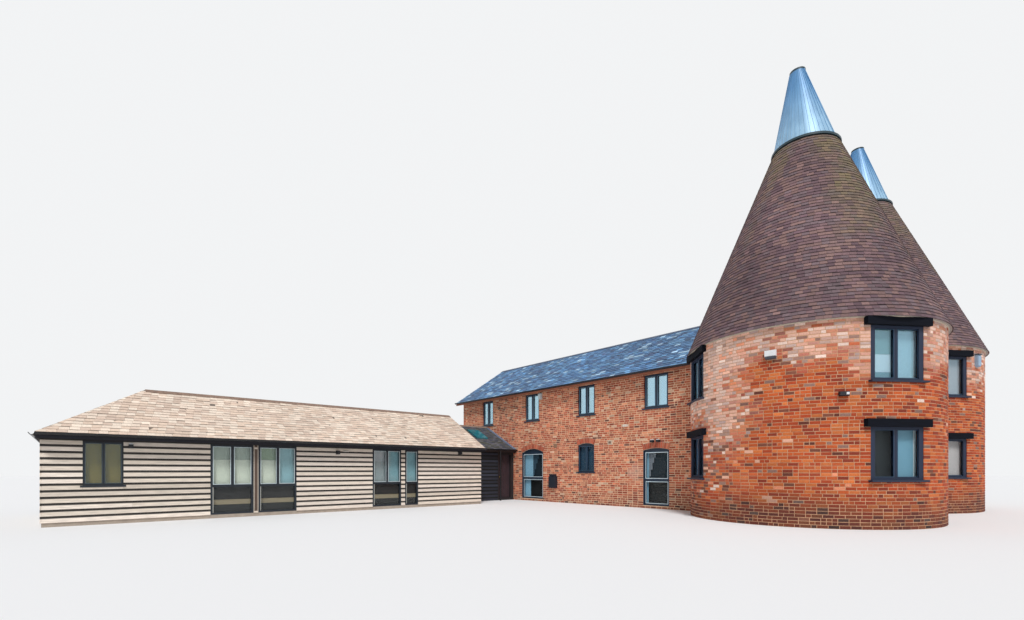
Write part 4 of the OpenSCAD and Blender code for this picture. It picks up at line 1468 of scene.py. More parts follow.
@dataclass
class Kiln:
    """A round kiln under its tiled cone and leaning cowl."""

    name: str
    axis: Pair
    radius: float
    wall_h: float
    windows: tuple[KilnWindow, ...]
    mossy: float
    seed: int
    cone_h: float = 5.59
    eaves_out: float = 0.115
    top_r: float = 0.86
    cone_t: float = 0.22
    deck_inset: float = 0.034
    win_w: float = 1.33
    jamb_depth: float = 0.045
    cowl_h: float = 2.36
    cowl_top_r: float = 0.19
    cowl_lean: float = 5.0
    cowl_a: float = 37.0
    cowl_open_a: float = 52.0
    rim_h: float = 0.06
    rim_out: float = 0.015
    seams: int = 30
    seam_foot: float = 0.075
    seam_half: float = 0.006
    seam_out: Pair = (-0.004, 0.011)
    margin: float = 0.12

    @property
    def eaves_r(self) -> float:
        """Radius of the tiles at the eaves."""
        return self.radius + self.eaves_out

    @property
    def top_z(self) -> float:
        """Height of the cone's top."""
        return self.wall_h + self.cone_h

    def face_at(self, facing: float) -> Face:
        """The flat face that touches the round wall in one direction.

        Args:
            facing: the direction in degrees.

        Returns:
            The face.
        """
        t = math.radians(facing)
        x, y = self.axis[0] + self.radius * math.cos(t), self.axis[1] + self.radius * math.sin(t)
        return Face((x, y, 0.0), facing)

    def clear_of(self, places: Array) -> Array:
        """Tells which places are outside the kiln and its cone.

        Args:
            places: where the pieces lie, one row each.

        Returns:
            True or false for each.
        """
        reach = np.hypot(places[:, 0] - self.axis[0], places[:, 1] - self.axis[1])
        up = np.clip((places[:, 2] - self.wall_h) / self.cone_h, 0, 1)
        skin = np.where(places[:, 2] < self.wall_h, self.radius, self.eaves_r - up * (self.eaves_r - self.top_r))
        return reach > skin - self.margin

    def brickwork(self, kit: Dressing) -> None:
        """Lays the bricks round the kiln.

        Args:
            kit: what to build with.
        """
        start = math.pi * self.radius
        wide = 2 * self.radius * math.asin(self.win_w / 2 / self.radius)
        holes = [Opening(math.radians(w.facing) * self.radius, w.foot, wide, w.height) for w in self.windows]
        courses = BrickCourses(Face((*self.axis, 0), 0, 90, self.radius), even(-start, start), self.wall_h - 0.002,
                               KilnBrickTones(self.axis), self.seed, openings=holes, jamb_depth=self.jamb_depth)
        kit.bricks(f"{self.name}_kiln_bricks", courses, "kiln_brick")

    def roof(self, kit: Dressing) -> None:
        """Lays the tiles round a closed deck, in place of the plain cone, and the mortar under the eaves.

        Args:
            kit: what to build with.
        """
        foot, top = self.eaves_r, self.top_r
        profile = [(foot - self.cone_t, self.wall_h), (foot - self.deck_inset, self.wall_h),
                   (top - self.deck_inset, self.top_z), (top - self.cone_t, self.top_z)]
        kit.ride(lathe(f"{self.name}_cone_deck", self.axis, profile, CONE_DECK))
        around = math.pi * foot
        pitch = math.degrees(math.atan2(self.cone_h, foot - top))
        tiles = PlateCourses(Face((*self.axis, self.wall_h), 0, pitch, foot), even(-around, around),
                             math.hypot(self.cone_h, foot - top),
                             ConeTileTones(self.axis, self.wall_h, self.cone_h, self.mossy), self.seed + 1,
                             gauge=0.1, plate=0.165, thick=0.013, lift=0.024, gap=0.004, cover=1.7, rough=0.004)
        cone = kit.lay(f"{self.name}_cone_tiles", [tiles], kit.units.tile, TILE, "clay_tile")
        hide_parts(f"{self.name}_kiln_roof")
        edge = ((-0.01, -0.03), (0.022, -0.016), (0.03, -0.001), (-0.01, -0.001))
        fillet = lathe(f"{self.name}_eaves_fillet", self.axis,
                       [(self.radius + out, self.wall_h + up) for out, up in edge], EAVES_MORTAR)
        kit.ride(fillet)

    def _seam(self, t: float) -> list[Vector]:
        """One standing seam on the upright cowl, at an angle from the opening's middle.

        Args:
            t: the angle in radians.

        Returns:
            Eight corners.
        """
        side = Vector((-math.sin(t), math.cos(t), 0)) * self.seam_half
        low_r = self.top_r - self.rim_out
        corners = []
        for z in (self.seam_foot, self.cowl_h - self.rim_h):
            r = low_r + (self.cowl_top_r - low_r) * z / self.cowl_h
            for out in self.seam_out:
                middle = Vector(((r + out) * math.cos(t), (r + out) * math.sin(t), z))
                corners += [middle - side, middle + side]
        return corners

    def cowl(self, kit: Dressing) -> None:
        """Coats the cowl and adds its standing seams.

        Args:
            kit: what to build with.
        """
        a, lean, opening = math.radians(self.cowl_a), math.radians(self.cowl_lean), math.radians(self.cowl_open_a)
        up = Vector((-math.sin(lean) * math.cos(a), -math.sin(lean) * math.sin(a), math.cos(lean)))
        foot = (*self.axis, self.top_z)
        sheet = CowlSheet(f"{self.name}_cowl_sheet", foot, up, self.cowl_h, self.rim_h)
        kit.coat(self.name, cowl=sheet)
        turn = Matrix.Rotation(a, 3, "Z") @ Matrix.Rotation(-lean, 3, "Y")
        points: list[Triple] = []
        faces: list[tuple[int, ...]] = []
        for i in range(self.seams):
            t = opening + (i + 0.5) * 2 * (math.pi - opening) / self.seams
            points += [tuple(Vector(foot) + turn @ corner) for corner in self._seam(t)]
            faces += [tuple(8 * i + n for n in side) for side in (
                (0, 2, 3, 1), (4, 5, 7, 6), (0, 4, 6, 2), (1, 3, 7, 5), (2, 6, 7, 3), (0, 1, 5, 4))]
        kit.ride(solid(f"{self.name}_cowl_seams", np.array(points), faces, sheet))

    def dress(self, kit: Dressing) -> None:
        """Builds and coats the whole kiln.

        Args:
            kit: what to build with.
        """
        skin = Masonry(f"{self.name}_kiln_masonry", srgb(206, 160, 126), srgb(172, 96, 70), axis=self.axis,
                       radius=self.radius)
        kit.coat(f"{self.name}_kiln", wall_right=skin, wall_back=skin, wall_left=skin, roof=CONE_DECK)
        self.brickwork(kit)
        self.roof(kit)
        self.cowl(kit)


@dataclass
class Wing:
    """The low boarded wing with its hipped slate roof."""

    far_y: float = -15.93
    near_y: float = -3.0
    back_x: float = 0.84
    front_x: float = 5.36
    plinth: float = 0.1
    eaves_z: float = 2.22
    rise: float = 1.49
    eaves_out: float = 0.3
    end_out: float = 0.1
    hip_run: float = 2.28
    slope_t: float = 0.12
    board_t: float = 0.026
    tall: tuple[Opening, ...] = tuple(
        Opening(y, 0, w, 1.97) for y, w in ((-11.93, 1.1), (-10.705, 1.09), (-7.11, 1.09), (-6.145, 0.54)))
    small_w: float = 0.79
    small_h: float = 1.08
    small_z: float = 0.87
    small_front: float = -14.795
    small_back: tuple[float, ...] = (-13.6, -10.0, -6.4)
    gauge: float = 0.165

    @property
    def half(self) -> float:
        """Half the width over the walls."""
        return (self.front_x - self.back_x) / 2

    @property
    def slope(self) -> Slope:
        """Either long slope of the roof."""
        return Slope(self.rise, self.half + self.eaves_out)

    def small(self, middle: float) -> Opening:
        """A small window's opening."""
        return Opening(middle, self.small_z, self.small_w, self.small_h)

    def boards(self, kit: Dressing) -> None:
        """Lays the boards of the four walls, over the plinth.

        Args:
            kit: what to build with.
        """
        ratio, z, out = self.slope.ratio, self.plinth, self.board_t
        top = self.eaves_z - self.slope.under(self.slope_t) + self.eaves_out * ratio - z

        def gable(v: float) -> Pair:
            """Gives the width between the slopes of the roof at a height."""
            inset = max(0.0, (v - top) / ratio)
            return -self.front_x + inset, -self.back_x - inset

        walls = (
            (self.front_x, 0, 0, even(self.far_y - out, self.near_y), top, [*self.tall, self.small(self.small_front)]),
            (self.back_x, 0, 180, even(-self.near_y, -self.far_y + out), top,
             [self.small(-y) for y in self.small_back]),
            (0, self.far_y, -90, even(self.back_x - out, self.front_x + out), top, []),
            (0, self.near_y, 90, gable, top + self.half * ratio, []),
        )
        fields = [BoardCourses(Face((x, y, z), facing), width, height, SUNLIT_WING_BOARDS, 201 + n, openings=holes)
                  for n, (x, y, facing, width, height, holes) in enumerate(walls)]
        kit.lay("wing_boards", fields, kit.units.board, BOARD, "board")

    def slates(self, kit: Dressing) -> None:
        """Lays the slates of the two long slopes and the hip.

        Args:
            kit: what to build with.
        """
        long, hip = self.slope, Slope(self.rise, self.hip_run)
        end, z, low = self.far_y - self.end_out, self.eaves_z, self.gauge / 2
        front_x, back_x = self.front_x + self.eaves_out, self.back_x - self.eaves_out
        ridge_x = (self.front_x + self.back_x) / 2
        lean, hip_lean = self.hip_run / long.length, long.run / hip.length

        def beside_hip(corners: Array) -> Array:
            """Keeps the long slopes' corners on their side of the hips.

            Args:
                corners: corners in building terms.

            Returns:
                The corners, moved.
            """
            inwards = np.minimum(front_x - corners[:, 0], corners[:, 0] - back_x)
            corners[:, 1] = np.maximum(corners[:, 1], end + inwards / long.run * self.hip_run)
            return corners

        def within_hips(corners: Array) -> Array:
            """Keeps the hipped end's corners between the hips.

            Args:
                corners: corners in building terms.

            Returns:
                The corners, moved.
            """
            inwards = (corners[:, 1] - end) / self.hip_run * long.run
            left, right = np.minimum(back_x + inwards, ridge_x), np.maximum(front_x - inwards, ridge_x)
            corners[:, 0] = np.clip(corners[:, 0], left, right)
            return corners

        for name, face, width, length, seed, trim in (
            ("front", Face((front_x, 0, z), 0, long.pitch),
             lambda v: (end + (v - low) * lean, self.near_y), long.length, 211, beside_hip),
            ("back", Face((back_x, 0, z), 180, long.pitch),
             lambda v: (-self.near_y, -end - (v - low) * lean), long.length, 212, beside_hip),
            ("hip", Face((0, end, z), -90, hip.pitch),
             lambda v: (back_x + (v - low) * hip_lean, front_x - (v - low) * hip_lean), hip.length, 213, within_hips),
        ):
            slates = PlateCourses(face, width, length, WING_SLATES, seed, gauge=self.gauge, plate=0.19, thick=0.006,
                                  lift=0.014)
            kit.lay(f"wing_{name}_slates", [slates], kit.units.tile, WING_SLATE, "wing_slate", trim=trim)

    def dress(self, kit: Dressing) -> None:
        """Builds and coats the whole wing.

        Args:
            kit: what to build with.
        """
        # The wing's panes above 0.93 m get a faint painted sky reflection.
        kit.coat("wing", front_wall=BOARD_BACK, back_wall=BOARD_BACK, left_wall=BOARD_BACK, right_gable=BOARD_BACK,
                 floor=Slab("wing_slab", self.plinth), roof=WING_DECK, ridge_tiles=RIDGE, gutters=GUTTER,
                 window_frames=WING_FRAME,
                 glass=Glazing("wing_glass_face", above=0.93, share=0.05, sky=srgb(210, 226, 226)))
        self.boards(kit)
        self.slates(kit)


@dataclass
class Lobby:
    """The entrance lobby with its door, tiles and rooflight."""

    ridge_x: float = 1.97
    half: float = 1.97
    end_y: float = -3.0
    end_x: float = 0.84
    door_left: float = -0.95
    eaves_z: float = 2.29
    rise: float = 1.17
    eaves_out: float = 0.19
    slope_t: float = 0.12
    light_from: float = 0.5
    light_run: float = 0.76
    light_w: float = 0.62
    light_at: float = -1.25
    light_rim: float = 0.06
    light_foot: float = 0.02

    @property
    def slope(self) -> Slope:
        """Either slope of the roof."""
        return Slope(self.rise, self.half + self.eaves_out)

    def boards(self, kit: Dressing) -> None:
        """Lays the boards beside the door, on the side away from the courtyard and on the free end.

        Args:
            kit: what to build with.
        """
        top = self.eaves_z - self.slope.under(self.slope_t) + self.eaves_out * self.slope.ratio
        left, right = self.ridge_x - self.half, self.ridge_x + self.half
        walls = ((right, 0, 0, even(self.end_y, self.door_left)), (left, 0, 180, even(0.0, -self.end_y)),
                 (0, self.end_y, -90, even(left, self.end_x)))
        fields = [BoardCourses(Face((x, y, 0), facing), width, top, SHADED_LOBBY_BOARDS, 301 + n)
                  for n, (x, y, facing, width) in enumerate(walls)]
        kit.lay("lobby_boards", fields, kit.units.board, BOARD, "board")

    def _off_light(self, places: Array) -> Array:
        """Tells which places are clear of the rooflight.

        Args:
            places: where the pieces lie, one row each.

        Returns:
            True or false for each.
        """
        x, y = places[:, 0] - self.ridge_x, places[:, 1] - self.light_at
        across = (x > self.light_from - self.light_foot) & (x < self.light_from + self.light_run + self.light_rim)
        return ~(across & (np.abs(y) < self.light_w / 2 + self.light_rim))

    def tiles(self, kit: Dressing) -> None:
        """Lays the tiles of both slopes.

        Args:
            kit: what to build with.
        """
        seam = 0.01
        fields = [PlateCourses(Face((x, 0, self.eaves_z), facing, self.slope.pitch), width, self.slope.length,
                               LOBBY_TILES, seed, gauge=0.1, plate=0.165, thick=0.012, lift=0.02, cover=1.7,
                               clear=self._off_light)
                  for facing, x, width, seed in (
                      (0.0, self.ridge_x + self.half + self.eaves_out, even(self.end_y, -seam), 311),
                      (180.0, self.ridge_x - self.half - self.eaves_out, even(seam, -self.end_y), 312),
                  )]
        kit.lay("lobby_tiles", fields, kit.units.tile, TILE, "clay_tile")

    def dress(self, kit: Dressing) -> None:
        """Builds and coats the whole lobby.

        Args:
            kit: what to build with.
        """
        kit.coat("lobby", side_wall=BOARD_BACK, end_wall=BOARD_BACK, front_wall=BOARD_BACK, roof=DECK,
                 floor=Slab("lobby_slab", 0.1), ridge_tiles=RIDGE, rooflight=ROOFLIGHT, flashing=LEAD, gutters=GUTTER)
        kit.coat("door", frame=DOOR_FRAME, knob=BRASS)
        kit.coat("front", door=DOOR)
        self.boards(kit)
        self.tiles(kit)


@dataclass(frozen=True)
class Window:
    """A framed window as the CAD makes it: its wall, foot, size, lights and the height of its rail."""

    face: Face
    middle: float
    foot: float
    width: float
    height: float
    lights: int = 2
    rail: float = 0.0
    reveal: float = 0.06
    frame: float = 0.055
    mullion: float = 0.07
    depth: float = 0.07

    @classmethod
    def of(cls, face: Face, o: Opening, lights: int = 2, rail: float = 0.0, reveal: float = 0.06) -> "Window":
        """The window in an opening, under its arch."""
        return cls(face, o.middle, o.foot, o.width, o.height - o.rise, lights, rail, reveal)

    def casements(self) -> list[Span]:
        """The panes over the rail or the sill, from the left.

        Returns:
            Left, foot, width and height of each.
        """
        wide = (self.width - 2 * self.frame - (self.lights - 1) * self.mullion) / self.lights
        low = self.rail + self.mullion / 2 if self.rail else self.frame
        start = self.middle - self.width / 2 + self.frame
        high = self.height - self.frame - low
        return [(start + i * (wide + self.mullion), self.foot + low, wide, high) for i in range(self.lights)]

    def low_pane(self) -> Span:
        """The one wide pane under the rail."""
        left = self.middle - self.width / 2 + self.frame
        return left, self.foot + self.frame, self.width - 2 * self.frame, self.rail - self.frame - self.mullion / 2


@dataclass
class Fittings:
    """Plain sheets behind panes, bands of sashes with painted highlights on their edges, and small things on the walls.

    Some sheets are curtains or blinds; others are painted reflections, and dark ones set further back are painted shade
    of the room.
    """

    sheets: Laying = field(default_factory=Laying)
    edges: Laying = field(default_factory=Laying)
    boxes: Laying = field(default_factory=Laying)

    @staticmethod
    def _put(to: Laying, face: Face, u: float, v: float, out: float, size: Triple, tone: Tone) -> None:
        """Adds one piece by the middle of its foot."""
        at = np.array([u])
        to.add(face.points(at, np.array([v]), out), face.turns(at), size, tone)

    def sheet(self, window: Window, pane: Span, tone: Tone, across: Pair = (0, 1), up: Pair = (0, 1),
              back: float = 0.02) -> None:
        """Sets a sheet behind part of a pane, a little past its edges.

        Args:
            window: the window.
            pane: which of its panes.
            tone: the sheet's colour.
            across: left and right edge as shares of the pane's width.
            up: foot and top as shares of its height.
            back: how far the sheet is behind the frame.
        """
        left, foot, wide, high = pane
        spare, thick = 0.008, 0.004
        size = (wide * (across[1] - across[0]) + spare, high * (up[1] - up[0]) + spare, thick)
        self._put(self.sheets, window.face, left + wide * sum(across) / 2, foot + high * up[0] - spare / 2,
                  -window.reveal - window.depth - back, size, tone)

    def ring(self, window: Window, pane: Span, tone: Tone, strip: float = 0.014, out: float = 0.015,
             deep: float = 0.005, side: float = 0.0) -> None:
        """Lays a strip round a pane, on its sash.

        Args:
            window: the window.
            pane: which of its panes.
            tone: the strip's colour.
            strip: how wide the strip is.
            out: how far its face stands in front of the frame.
            deep: how thick it is.
            side: how wide it is at its two sides, where that is something else.
        """
        left, foot, wide, high = pane
        side = side or strip
        for u, v, w, h in ((left - side / 2, foot - strip, side, high + 2 * strip),
                           (left + wide + side / 2, foot - strip, side, high + 2 * strip),
                           (left + wide / 2, foot - strip, wide, strip), (left + wide / 2, foot + high, wide, strip)):
            self._put(self.edges, window.face, u, v, out - window.reveal, (w, h, deep), tone)

    def banded(self, window: Window, pane: Span, tone: Tone, strip: float, out: float = 0.013) -> Span:
        """Covers the rim of a pane with a band of the sash.

        Args:
            window: the window.
            pane: which of its panes.
            tone: the band's colour.
            strip: how wide it is.
            out: how far it stands in front of the frame.

        Returns:
            Left, foot, width and height of what stays clear.
        """
        left, foot, wide, high = pane
        clear = (left + strip, foot + strip, wide - 2 * strip, high - 2 * strip)
        self.ring(window, clear, tone, strip, out)
        return clear

    def box(self, face: Face, u: float, v: float, size: Triple, tone: Tone) -> None:
        """Fixes a box on a wall by the middle of its foot, 30 mm into it."""
        wide, high, deep = size
        self._put(self.boxes, face, u, v, deep, (wide, high, deep + 0.03), tone)

    def range_upper(self, r: Range, front: Face) -> None:
        """Dresses the upper windows of the range's front.

        Args:
            r: the range.
            front: its front.
        """
        band, edge = srgb(30, 52, 74), srgb(120, 160, 186)
        dull, pale, bright, green = srgb(96, 128, 150), srgb(170, 206, 226), srgb(206, 232, 242), srgb(150, 166, 130)
        for o, tones in zip(r.windows(), ((dull, bright), (bright, bright), (pale, green), (pale, bright))):
            window = Window.of(front, o)
            panes = window.casements()
            for pane, tone in zip(panes, tones):
                self.sheet(window, pane, tone)
            for pane in panes:
                # painted highlight: the pale strip round the clear glass stands for light on the sash edges
                self.ring(window, self.banded(window, pane, band, 0.028), edge, 0.012)

    def range_lower(self, r: Range, front: Face) -> None:
        """Dresses the two tall windows of the range's ground floor and the small one between them.

        Args:
            r: the range.
            front: its front.
        """
        band, edge, jamb = srgb(26, 50, 78), srgb(226, 246, 254), srgb(24, 44, 68)
        pale, dark, darker = srgb(170, 212, 236), srgb(30, 42, 52), srgb(24, 20, 20)
        fold_w, low_share, liner = 0.07, 0.7, 0.006
        for o, share, fold in zip(r.tall, (0.42, 0.1), (srgb(70, 92, 108), srgb(150, 150, 158))):
            window = Window.of(front, o, 1, 0.9)
            top, low = window.casements()[0], window.low_pane()
            for pane, out in ((top, 0.015), (low, 0.003)):
                # painted highlight: a near-white strip round the clear glass for light on the sash edges
                self.ring(window, self.banded(window, pane, band, 0.035, out), edge, 0.02, out + 0.002)
            self.sheet(window, top, pale, (0, share))
            self.sheet(window, low, pale, (0, low_share * share))
            # painted shade: dark sheets further back stand for the unlit room behind the right part of each pane
            self.sheet(window, top, dark, (share, 1), back=0.06)
            self.sheet(window, low, darker, (low_share * share, 1), back=0.06)
            for i, drop in enumerate((0.1, 0.35, 0.6, 0.8)):
                self.sheet(window, top, fold, (share + fold_w * i, share + fold_w * (i + 1)), (drop, 1))
            for side in (-1, 1):
                self._put(self.edges, front, o.middle + side * (o.width / 2 - liner / 2), o.foot, -0.002,
                          (liner, o.height - o.rise, r.reveal), jamb)
        window = Window.of(front, r.low)
        for pane in window.casements():
            self.sheet(window, pane, srgb(44, 72, 94))
            # painted highlight: a paler strip round each pane of the small window
            self.ring(window, pane, srgb(62, 96, 124), 0.012)

    def _kiln_sheets(self, kiln: Kiln, hole: KilnWindow, window: Window, left: Span, right: Span) -> None:
        """Sets the sheets behind a kiln window's panes.

        Args:
            kiln: the kiln.
            hole: the window's opening.
            window: the window.
            left: its left pane.
            right: its right pane.
        """
        upper = hole.foot > 2
        # On windows facing away to the left the sheets are a painted reflection of the sky.
        if hole.facing < -90 or kiln.name == "far":
            tone = srgb(206, 228, 242) if upper else srgb(92, 122, 154)
            for pane in (left, right):
                self.sheet(window, pane, tone if hole.facing < -90 else srgb(214, 196, 192))
            return
        if upper:
            # painted reflection: bands on the upper left pane stand for trees and sky mirrored in the glass
            for tone, up in ((srgb(136, 176, 176), (0.5, 1)), (srgb(238, 250, 255), (0.14, 0.5)),
                             (srgb(104, 150, 158), (0, 0.14))):
                self.sheet(window, left, tone, up=up)
        else:
            # painted shade: a dark sheet further back for the unlit room behind the lower left pane
            self.sheet(window, left, srgb(22, 24, 28), (0, 1.08), back=0.06)
        self.sheet(window, right, srgb(190, 222, 232) if upper else srgb(128, 170, 190), (0.14, 0.88))
        self.sheet(window, right, srgb(240, 246, 248), (0.88, 1))

    def kiln_windows(self, kiln: Kiln) -> None:
        """Dresses the windows of a kiln, with a front band forward of the deep frame.

        Args:
            kiln: the kiln.
        """
        navy, edge = srgb(20, 34, 60), srgb(52, 84, 112)
        strip, side, high_inset, wide_inset = 0.05, 0.11, 0.05, 0.115
        for hole in kiln.windows:
            window = Window(kiln.face_at(hole.facing), 0.0, hole.foot, kiln.win_w, hole.height, reveal=0.13)
            left, right = window.casements()
            self._kiln_sheets(kiln, hole, window, left, right)
            for pane in (left, right):
                # painted highlight: a paler strip round the clear glass on the sash edges
                self.ring(window, self.banded(window, pane, navy, 0.02), edge, 0.01)
            clear = (wide_inset - kiln.win_w / 2, hole.foot + high_inset, kiln.win_w - 2 * wide_inset,
                     hole.height - 2 * high_inset)
            self.ring(window, clear, navy, strip, 0.05, 0.048, side)

    def wing_windows(self, w: Wing) -> None:
        """Dresses the windows of the wing's front, and the post between the first two.

        Args:
            w: the wing.
        """
        front = Face((w.front_x, 0, 0), 0)
        band, edge, painted_edge_highlight = srgb(22, 28, 36), srgb(206, 222, 226), srgb(176, 176, 170)
        grey, cream, blue, green = srgb(190, 188, 170), srgb(252, 242, 218), srgb(164, 198, 204), srgb(164, 172, 138)
        tops = (((grey, cream), (grey, cream)), ((green, cream), (blue, blue)),
                ((srgb(206, 204, 206), srgb(180, 186, 186)), (blue, blue)), ((blue, blue),))
        # painted reflection: the dark and tan bands behind each low pane stand for the ground mirrored in the glass
        lows = ((srgb(52, 44, 42), (0.5, 1)), (srgb(170, 146, 118), (0.3, 0.5)), (srgb(58, 52, 50), (0, 0.3)))
        for o, tones in zip(w.tall, tops):
            window = Window(front, o.middle, w.plinth, o.width, o.height, len(tones), 0.8, 0.0)
            for pane, (high, low) in zip(window.casements(), tones):
                self.sheet(window, pane, high, up=(0.66, 1))
                self.sheet(window, pane, low, up=(0, 0.66))
                # painted highlight: a pale strip round the clear glass on the sash edges
                self.ring(window, self.banded(window, pane, band, 0.022), edge, 0.016)
            pane = window.low_pane()
            for tone, up in lows:
                self.sheet(window, pane, tone, up=up)
            left, foot, _, high = pane
            # painted highlight: a pale strip down the low pane's left edge
            self._put(self.edges, front, left + 0.012, foot, 0.004, (0.018, high, 0.004), painted_edge_highlight)
        window = Window(front, w.small_front, w.plinth + w.small_z, w.small_w, w.small_h, reveal=0.0)
        for pane in window.casements():
            self.sheet(window, pane, srgb(138, 112, 40))
            self.ring(window, pane, srgb(70, 84, 90), 0.012)
        # The pale strips either side of the post are painted highlights.
        post, trim = srgb(92, 74, 62), srgb(196, 184, 170)
        for u, wide, deep, tone in ((-11.315, 0.11, 0.03, post), (-11.262, 0.022, 0.034, trim),
                                    (-11.368, 0.022, 0.034, trim)):
            self.box(front, u, w.plinth, (wide, w.tall[0].height, deep), tone)

    def lamps(self, near: Kiln, far: Kiln, w: Wing) -> None:
        """Fixes the alarm box, lamps, vents and the wall box to the walls.

        Args:
            near: the near kiln.
            far: the far kiln.
            w: the wing.
        """
        front, wing = Face((0, 0, 0), -90), Face((w.front_x, 0, 0), 0)
        white, black, navy = srgb(228, 230, 232), srgb(20, 22, 30), srgb(22, 28, 42)
        for face, u, v, size, tone in (
            (front, 10.22, 2.94, (0.17, 0.09, 0.1), srgb(226, 216, 204)),
            (front, 9.48, 2.3, (0.22, 0.2, 0.012), srgb(206, 184, 162)),
            (front, 9.48, 2.35, (0.12, 0.1, 0.016), srgb(122, 98, 84)),
            (front, 6.62, 2.29, (0.2, 0.18, 0.012), srgb(150, 116, 92)),
            (front, 11.36, 2.33, (0.13, 0.07, 0.12), black), (front, 11.6, 2.33, (0.13, 0.07, 0.12), black),
            (front, 11.36, 2.4, (0.1, 0.03, 0.1), white), (front, 11.6, 2.4, (0.1, 0.03, 0.1), white),
            (front, 6.53, 0.6, (0.4, 0.5, 0.14), navy), (front, 6.53, 1.1, (0.3, 0.08, 0.13), navy),
            (front, 5.75, 4.42, (0.15, 0.26, 0.12), srgb(214, 232, 238)), (front, 5.75, 4.68, (0.03, 0.1, 0.04), black),
            (wing, -14.25, 1.9, (0.1, 0.1, 0.12), srgb(30, 32, 36)), (wing, -14.25, 2.0, (0.08, 0.03, 0.1), white),
            (wing, -8.88, 1.86, (0.1, 0.12, 0.14), srgb(26, 26, 30)),
            (wing, -8.6, 1.95, (0.2, 0.03, 0.08), srgb(214, 206, 196)), (wing, -4.06, 1.96, (0.12, 0.14, 0.14), black),
            (near.face_at(-84.75), 0.0, 4.08, (0.26, 0.15, 0.08), white),
            (near.face_at(-84.75), 0.0, 4.02, (0.24, 0.06, 0.07), srgb(60, 64, 74)),
            (near.face_at(-57.25), 0.0, 3.02, (0.2, 0.1, 0.12), black),
            (near.face_at(-56.3), 0.0, 3.04, (0.06, 0.06, 0.14), white),
            (far.face_at(-14.5), 0.0, 4.6, (0.2, 0.36, 0.1), srgb(150, 176, 200)),
            (far.face_at(-14.5), 0.0, 4.96, (0.22, 0.04, 0.11), srgb(70, 80, 90)),
        ):
            self.box(face, u, v, size, tone)

    def dress(self, kit: Dressing, r: Range, near: Kiln, far: Kiln, w: Wing) -> None:
        """Makes the three pieces.

        Args:
            kit: what to build with.
            r: the range.
            near: the near kiln.
            far: the far kiln.
            w: the wing.
        """
        front = Face((0, 0, 0), -90)
        self.range_upper(r, front)
        self.range_lower(r, front)
        self.kiln_windows(near)
        self.kiln_windows(far)
        self.wing_windows(w)
        self.lamps(near, far, w)
        kit.lay("window_blinds", self.sheets, kit.units.tile, MADE, "glass")
        kit.lay("sash_edges", self.edges, kit.units.tile, MADE, "window_frame")
        kit.lay("wall_fixtures", self.boxes, kit.units.brick, MADE, "gutter")


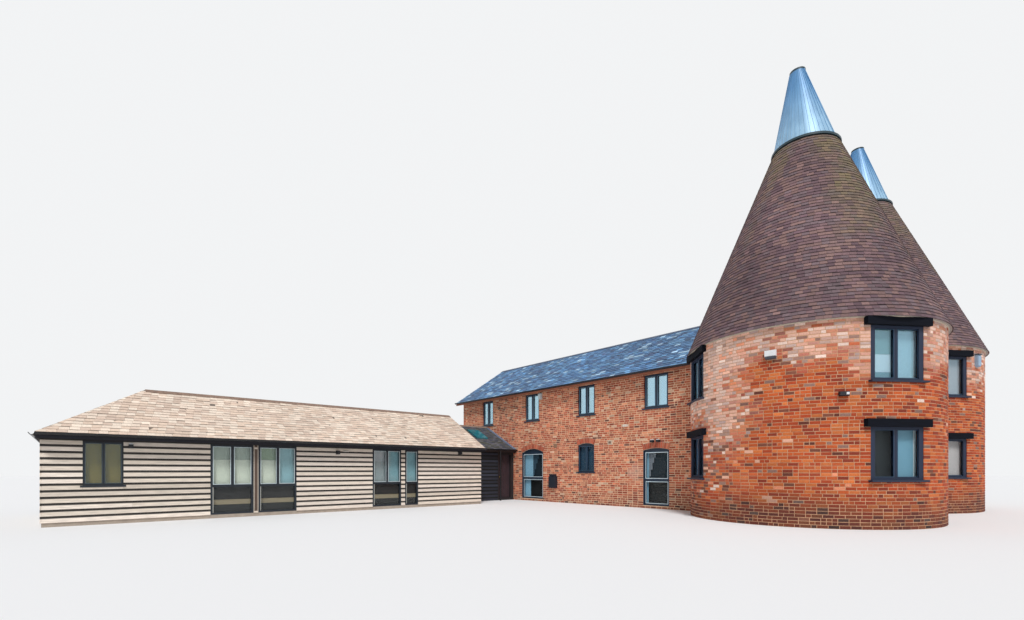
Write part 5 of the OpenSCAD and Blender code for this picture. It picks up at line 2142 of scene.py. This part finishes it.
@dataclass
class Stage:
    """Camera, floor, light and background."""

    place: Triple = (11.97, -12.514, 1.334)
    look: Triple = (-0.7534, 0.6575, 0.0)
    lens: float = 17.78
    rise: float = 0.1568
    floor_half: float = 150.0
    floor_drop: float = 0.001
    sun: float = 2.3
    sun_angle: float = 12.0
    sun_look: Triple = (-0.5, 0.4, -0.8)
    sky: float = 0.45
    sky_tone: Tone = (0.96, 0.98, 1.0)
    back: Tone = (0.89, 0.9, 0.91)

    @staticmethod
    def _aimed(name: str, data: bpy.types.ID, look: Triple) -> Obj:
        """Adds a camera or lamp that looks in a direction.

        Args:
            name: its name.
            data: the camera or lamp.
            look: the direction.

        Returns:
            The object.
        """
        obj = link(name, data)
        obj.rotation_euler = Vector(look).to_track_quat("-Z", "Y").to_euler()
        return obj

    def camera(self) -> None:
        """Puts the camera where the photograph was taken."""
        data = bpy.data.cameras.new("camera")
        data.lens, data.sensor_width, data.shift_y = self.lens, 36.0, self.rise
        data.clip_end = 500.0
        obj = self._aimed("camera", data, self.look)
        obj.location = self.place
        bpy.context.scene.camera = obj

    def floor(self) -> None:
        """Lays a wide pale floor under the house."""
        s = self.floor_half
        corners = np.array([(-s, -s, 0), (s, -s, 0), (s, s, 0), (-s, s, 0)]) + ORIGIN - (0, 0, self.floor_drop)
        solid("floor", corners, [(0, 1, 2, 3)], STAGE)

    def light(self) -> None:
        """Sets a soft sun and an even sky, whose background is near white to the camera and in reflections."""
        lamp = bpy.data.lights.new("sun", "SUN")
        lamp.energy, lamp.angle = self.sun, math.radians(self.sun_angle)
        self._aimed("sun", lamp, self.sun_look)
        world = bpy.data.worlds.new("sky")
        bpy.context.scene.world = world
        world.use_nodes = True
        world.node_tree.nodes.clear()
        w = Nodes(world.node_tree)
        ray = w.add("ShaderNodeLightPath").outputs
        glass = {0: ray["Is Glossy Ray"], 1: ray["Is Transmission Ray"]}
        mirrored = w.add("ShaderNodeMath", glass, operation="MAXIMUM")
        seen = w.add("ShaderNodeMath", {0: ray["Is Camera Ray"], 1: mirrored.outputs[0]}, operation="MAXIMUM")
        sky = w.add("ShaderNodeBackground", {"Color": self.sky_tone, "Strength": self.sky})
        back = w.add("ShaderNodeBackground", {"Color": self.back, "Strength": 1.0})
        mix = w.add("ShaderNodeMixShader", {0: seen.outputs[0], 1: sky.outputs[0], 2: back.outputs[0]})
        w.add("ShaderNodeOutputWorld", {0: mix.outputs[0]})

    def dress(self) -> None:
        """Sets up camera, floor, light and colour."""
        bpy.context.scene.view_settings.view_transform = "Standard"
        self.camera()
        self.floor()
        self.light()


def kilns() -> tuple[Kiln, Kiln]:
    """The near and the far kiln.

    Returns:
        The near one, then the far one.
    """
    low, foot, high_near, high_far, high = 1.2, 1.12, 3.37, 3.64, 1.24
    near = Kiln("near", (16.12, 0.39), radius=3.085, wall_h=4.8, mossy=0.4, seed=401, windows=tuple(
        KilnWindow(a, z, h) for a in (-34.5, -136.0) for z, h in ((foot, low), (high_near, high))))
    far = Kiln("far", (15.89, 6.925), radius=3.31, wall_h=5.2, mossy=0.25, seed=411, cone_h=5.78, windows=tuple(
        KilnWindow(a, z, h) for a in (-34.5, 120.0) for z, h in ((foot, low), (high_far, high))))
    return near, far


def main() -> None:
    """Dresses the house part by part and sets the stage."""
    logging.basicConfig(level=logging.INFO, format="%(message)s")
    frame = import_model()
    kit = Dressing(LayingTree(), Units(), frame["nodes"])
    near, far = kilns()
    long_range, wing = Range(), Wing()
    kit.coat("ground", floors=Slab("range_slab", 0.1))
    kit.coat("upper", floors=FLOOR_BOARDS)
    long_range.dress(kit, lambda p: near.clear_of(p) & far.clear_of(p))
    near.dress(kit)
    far.dress(kit)
    # The kilns' panes above 3 m get a painted sky reflection.
    kit.coat("kiln", lintels=LINTEL, window_frames=KILN_FRAME, glass=Glazing())
    wing.dress(kit)
    Lobby().dress(kit)
    Fittings().dress(kit, long_range, near, far, wing)
    Stage().dress()


if __name__ == "__main__":
    main()
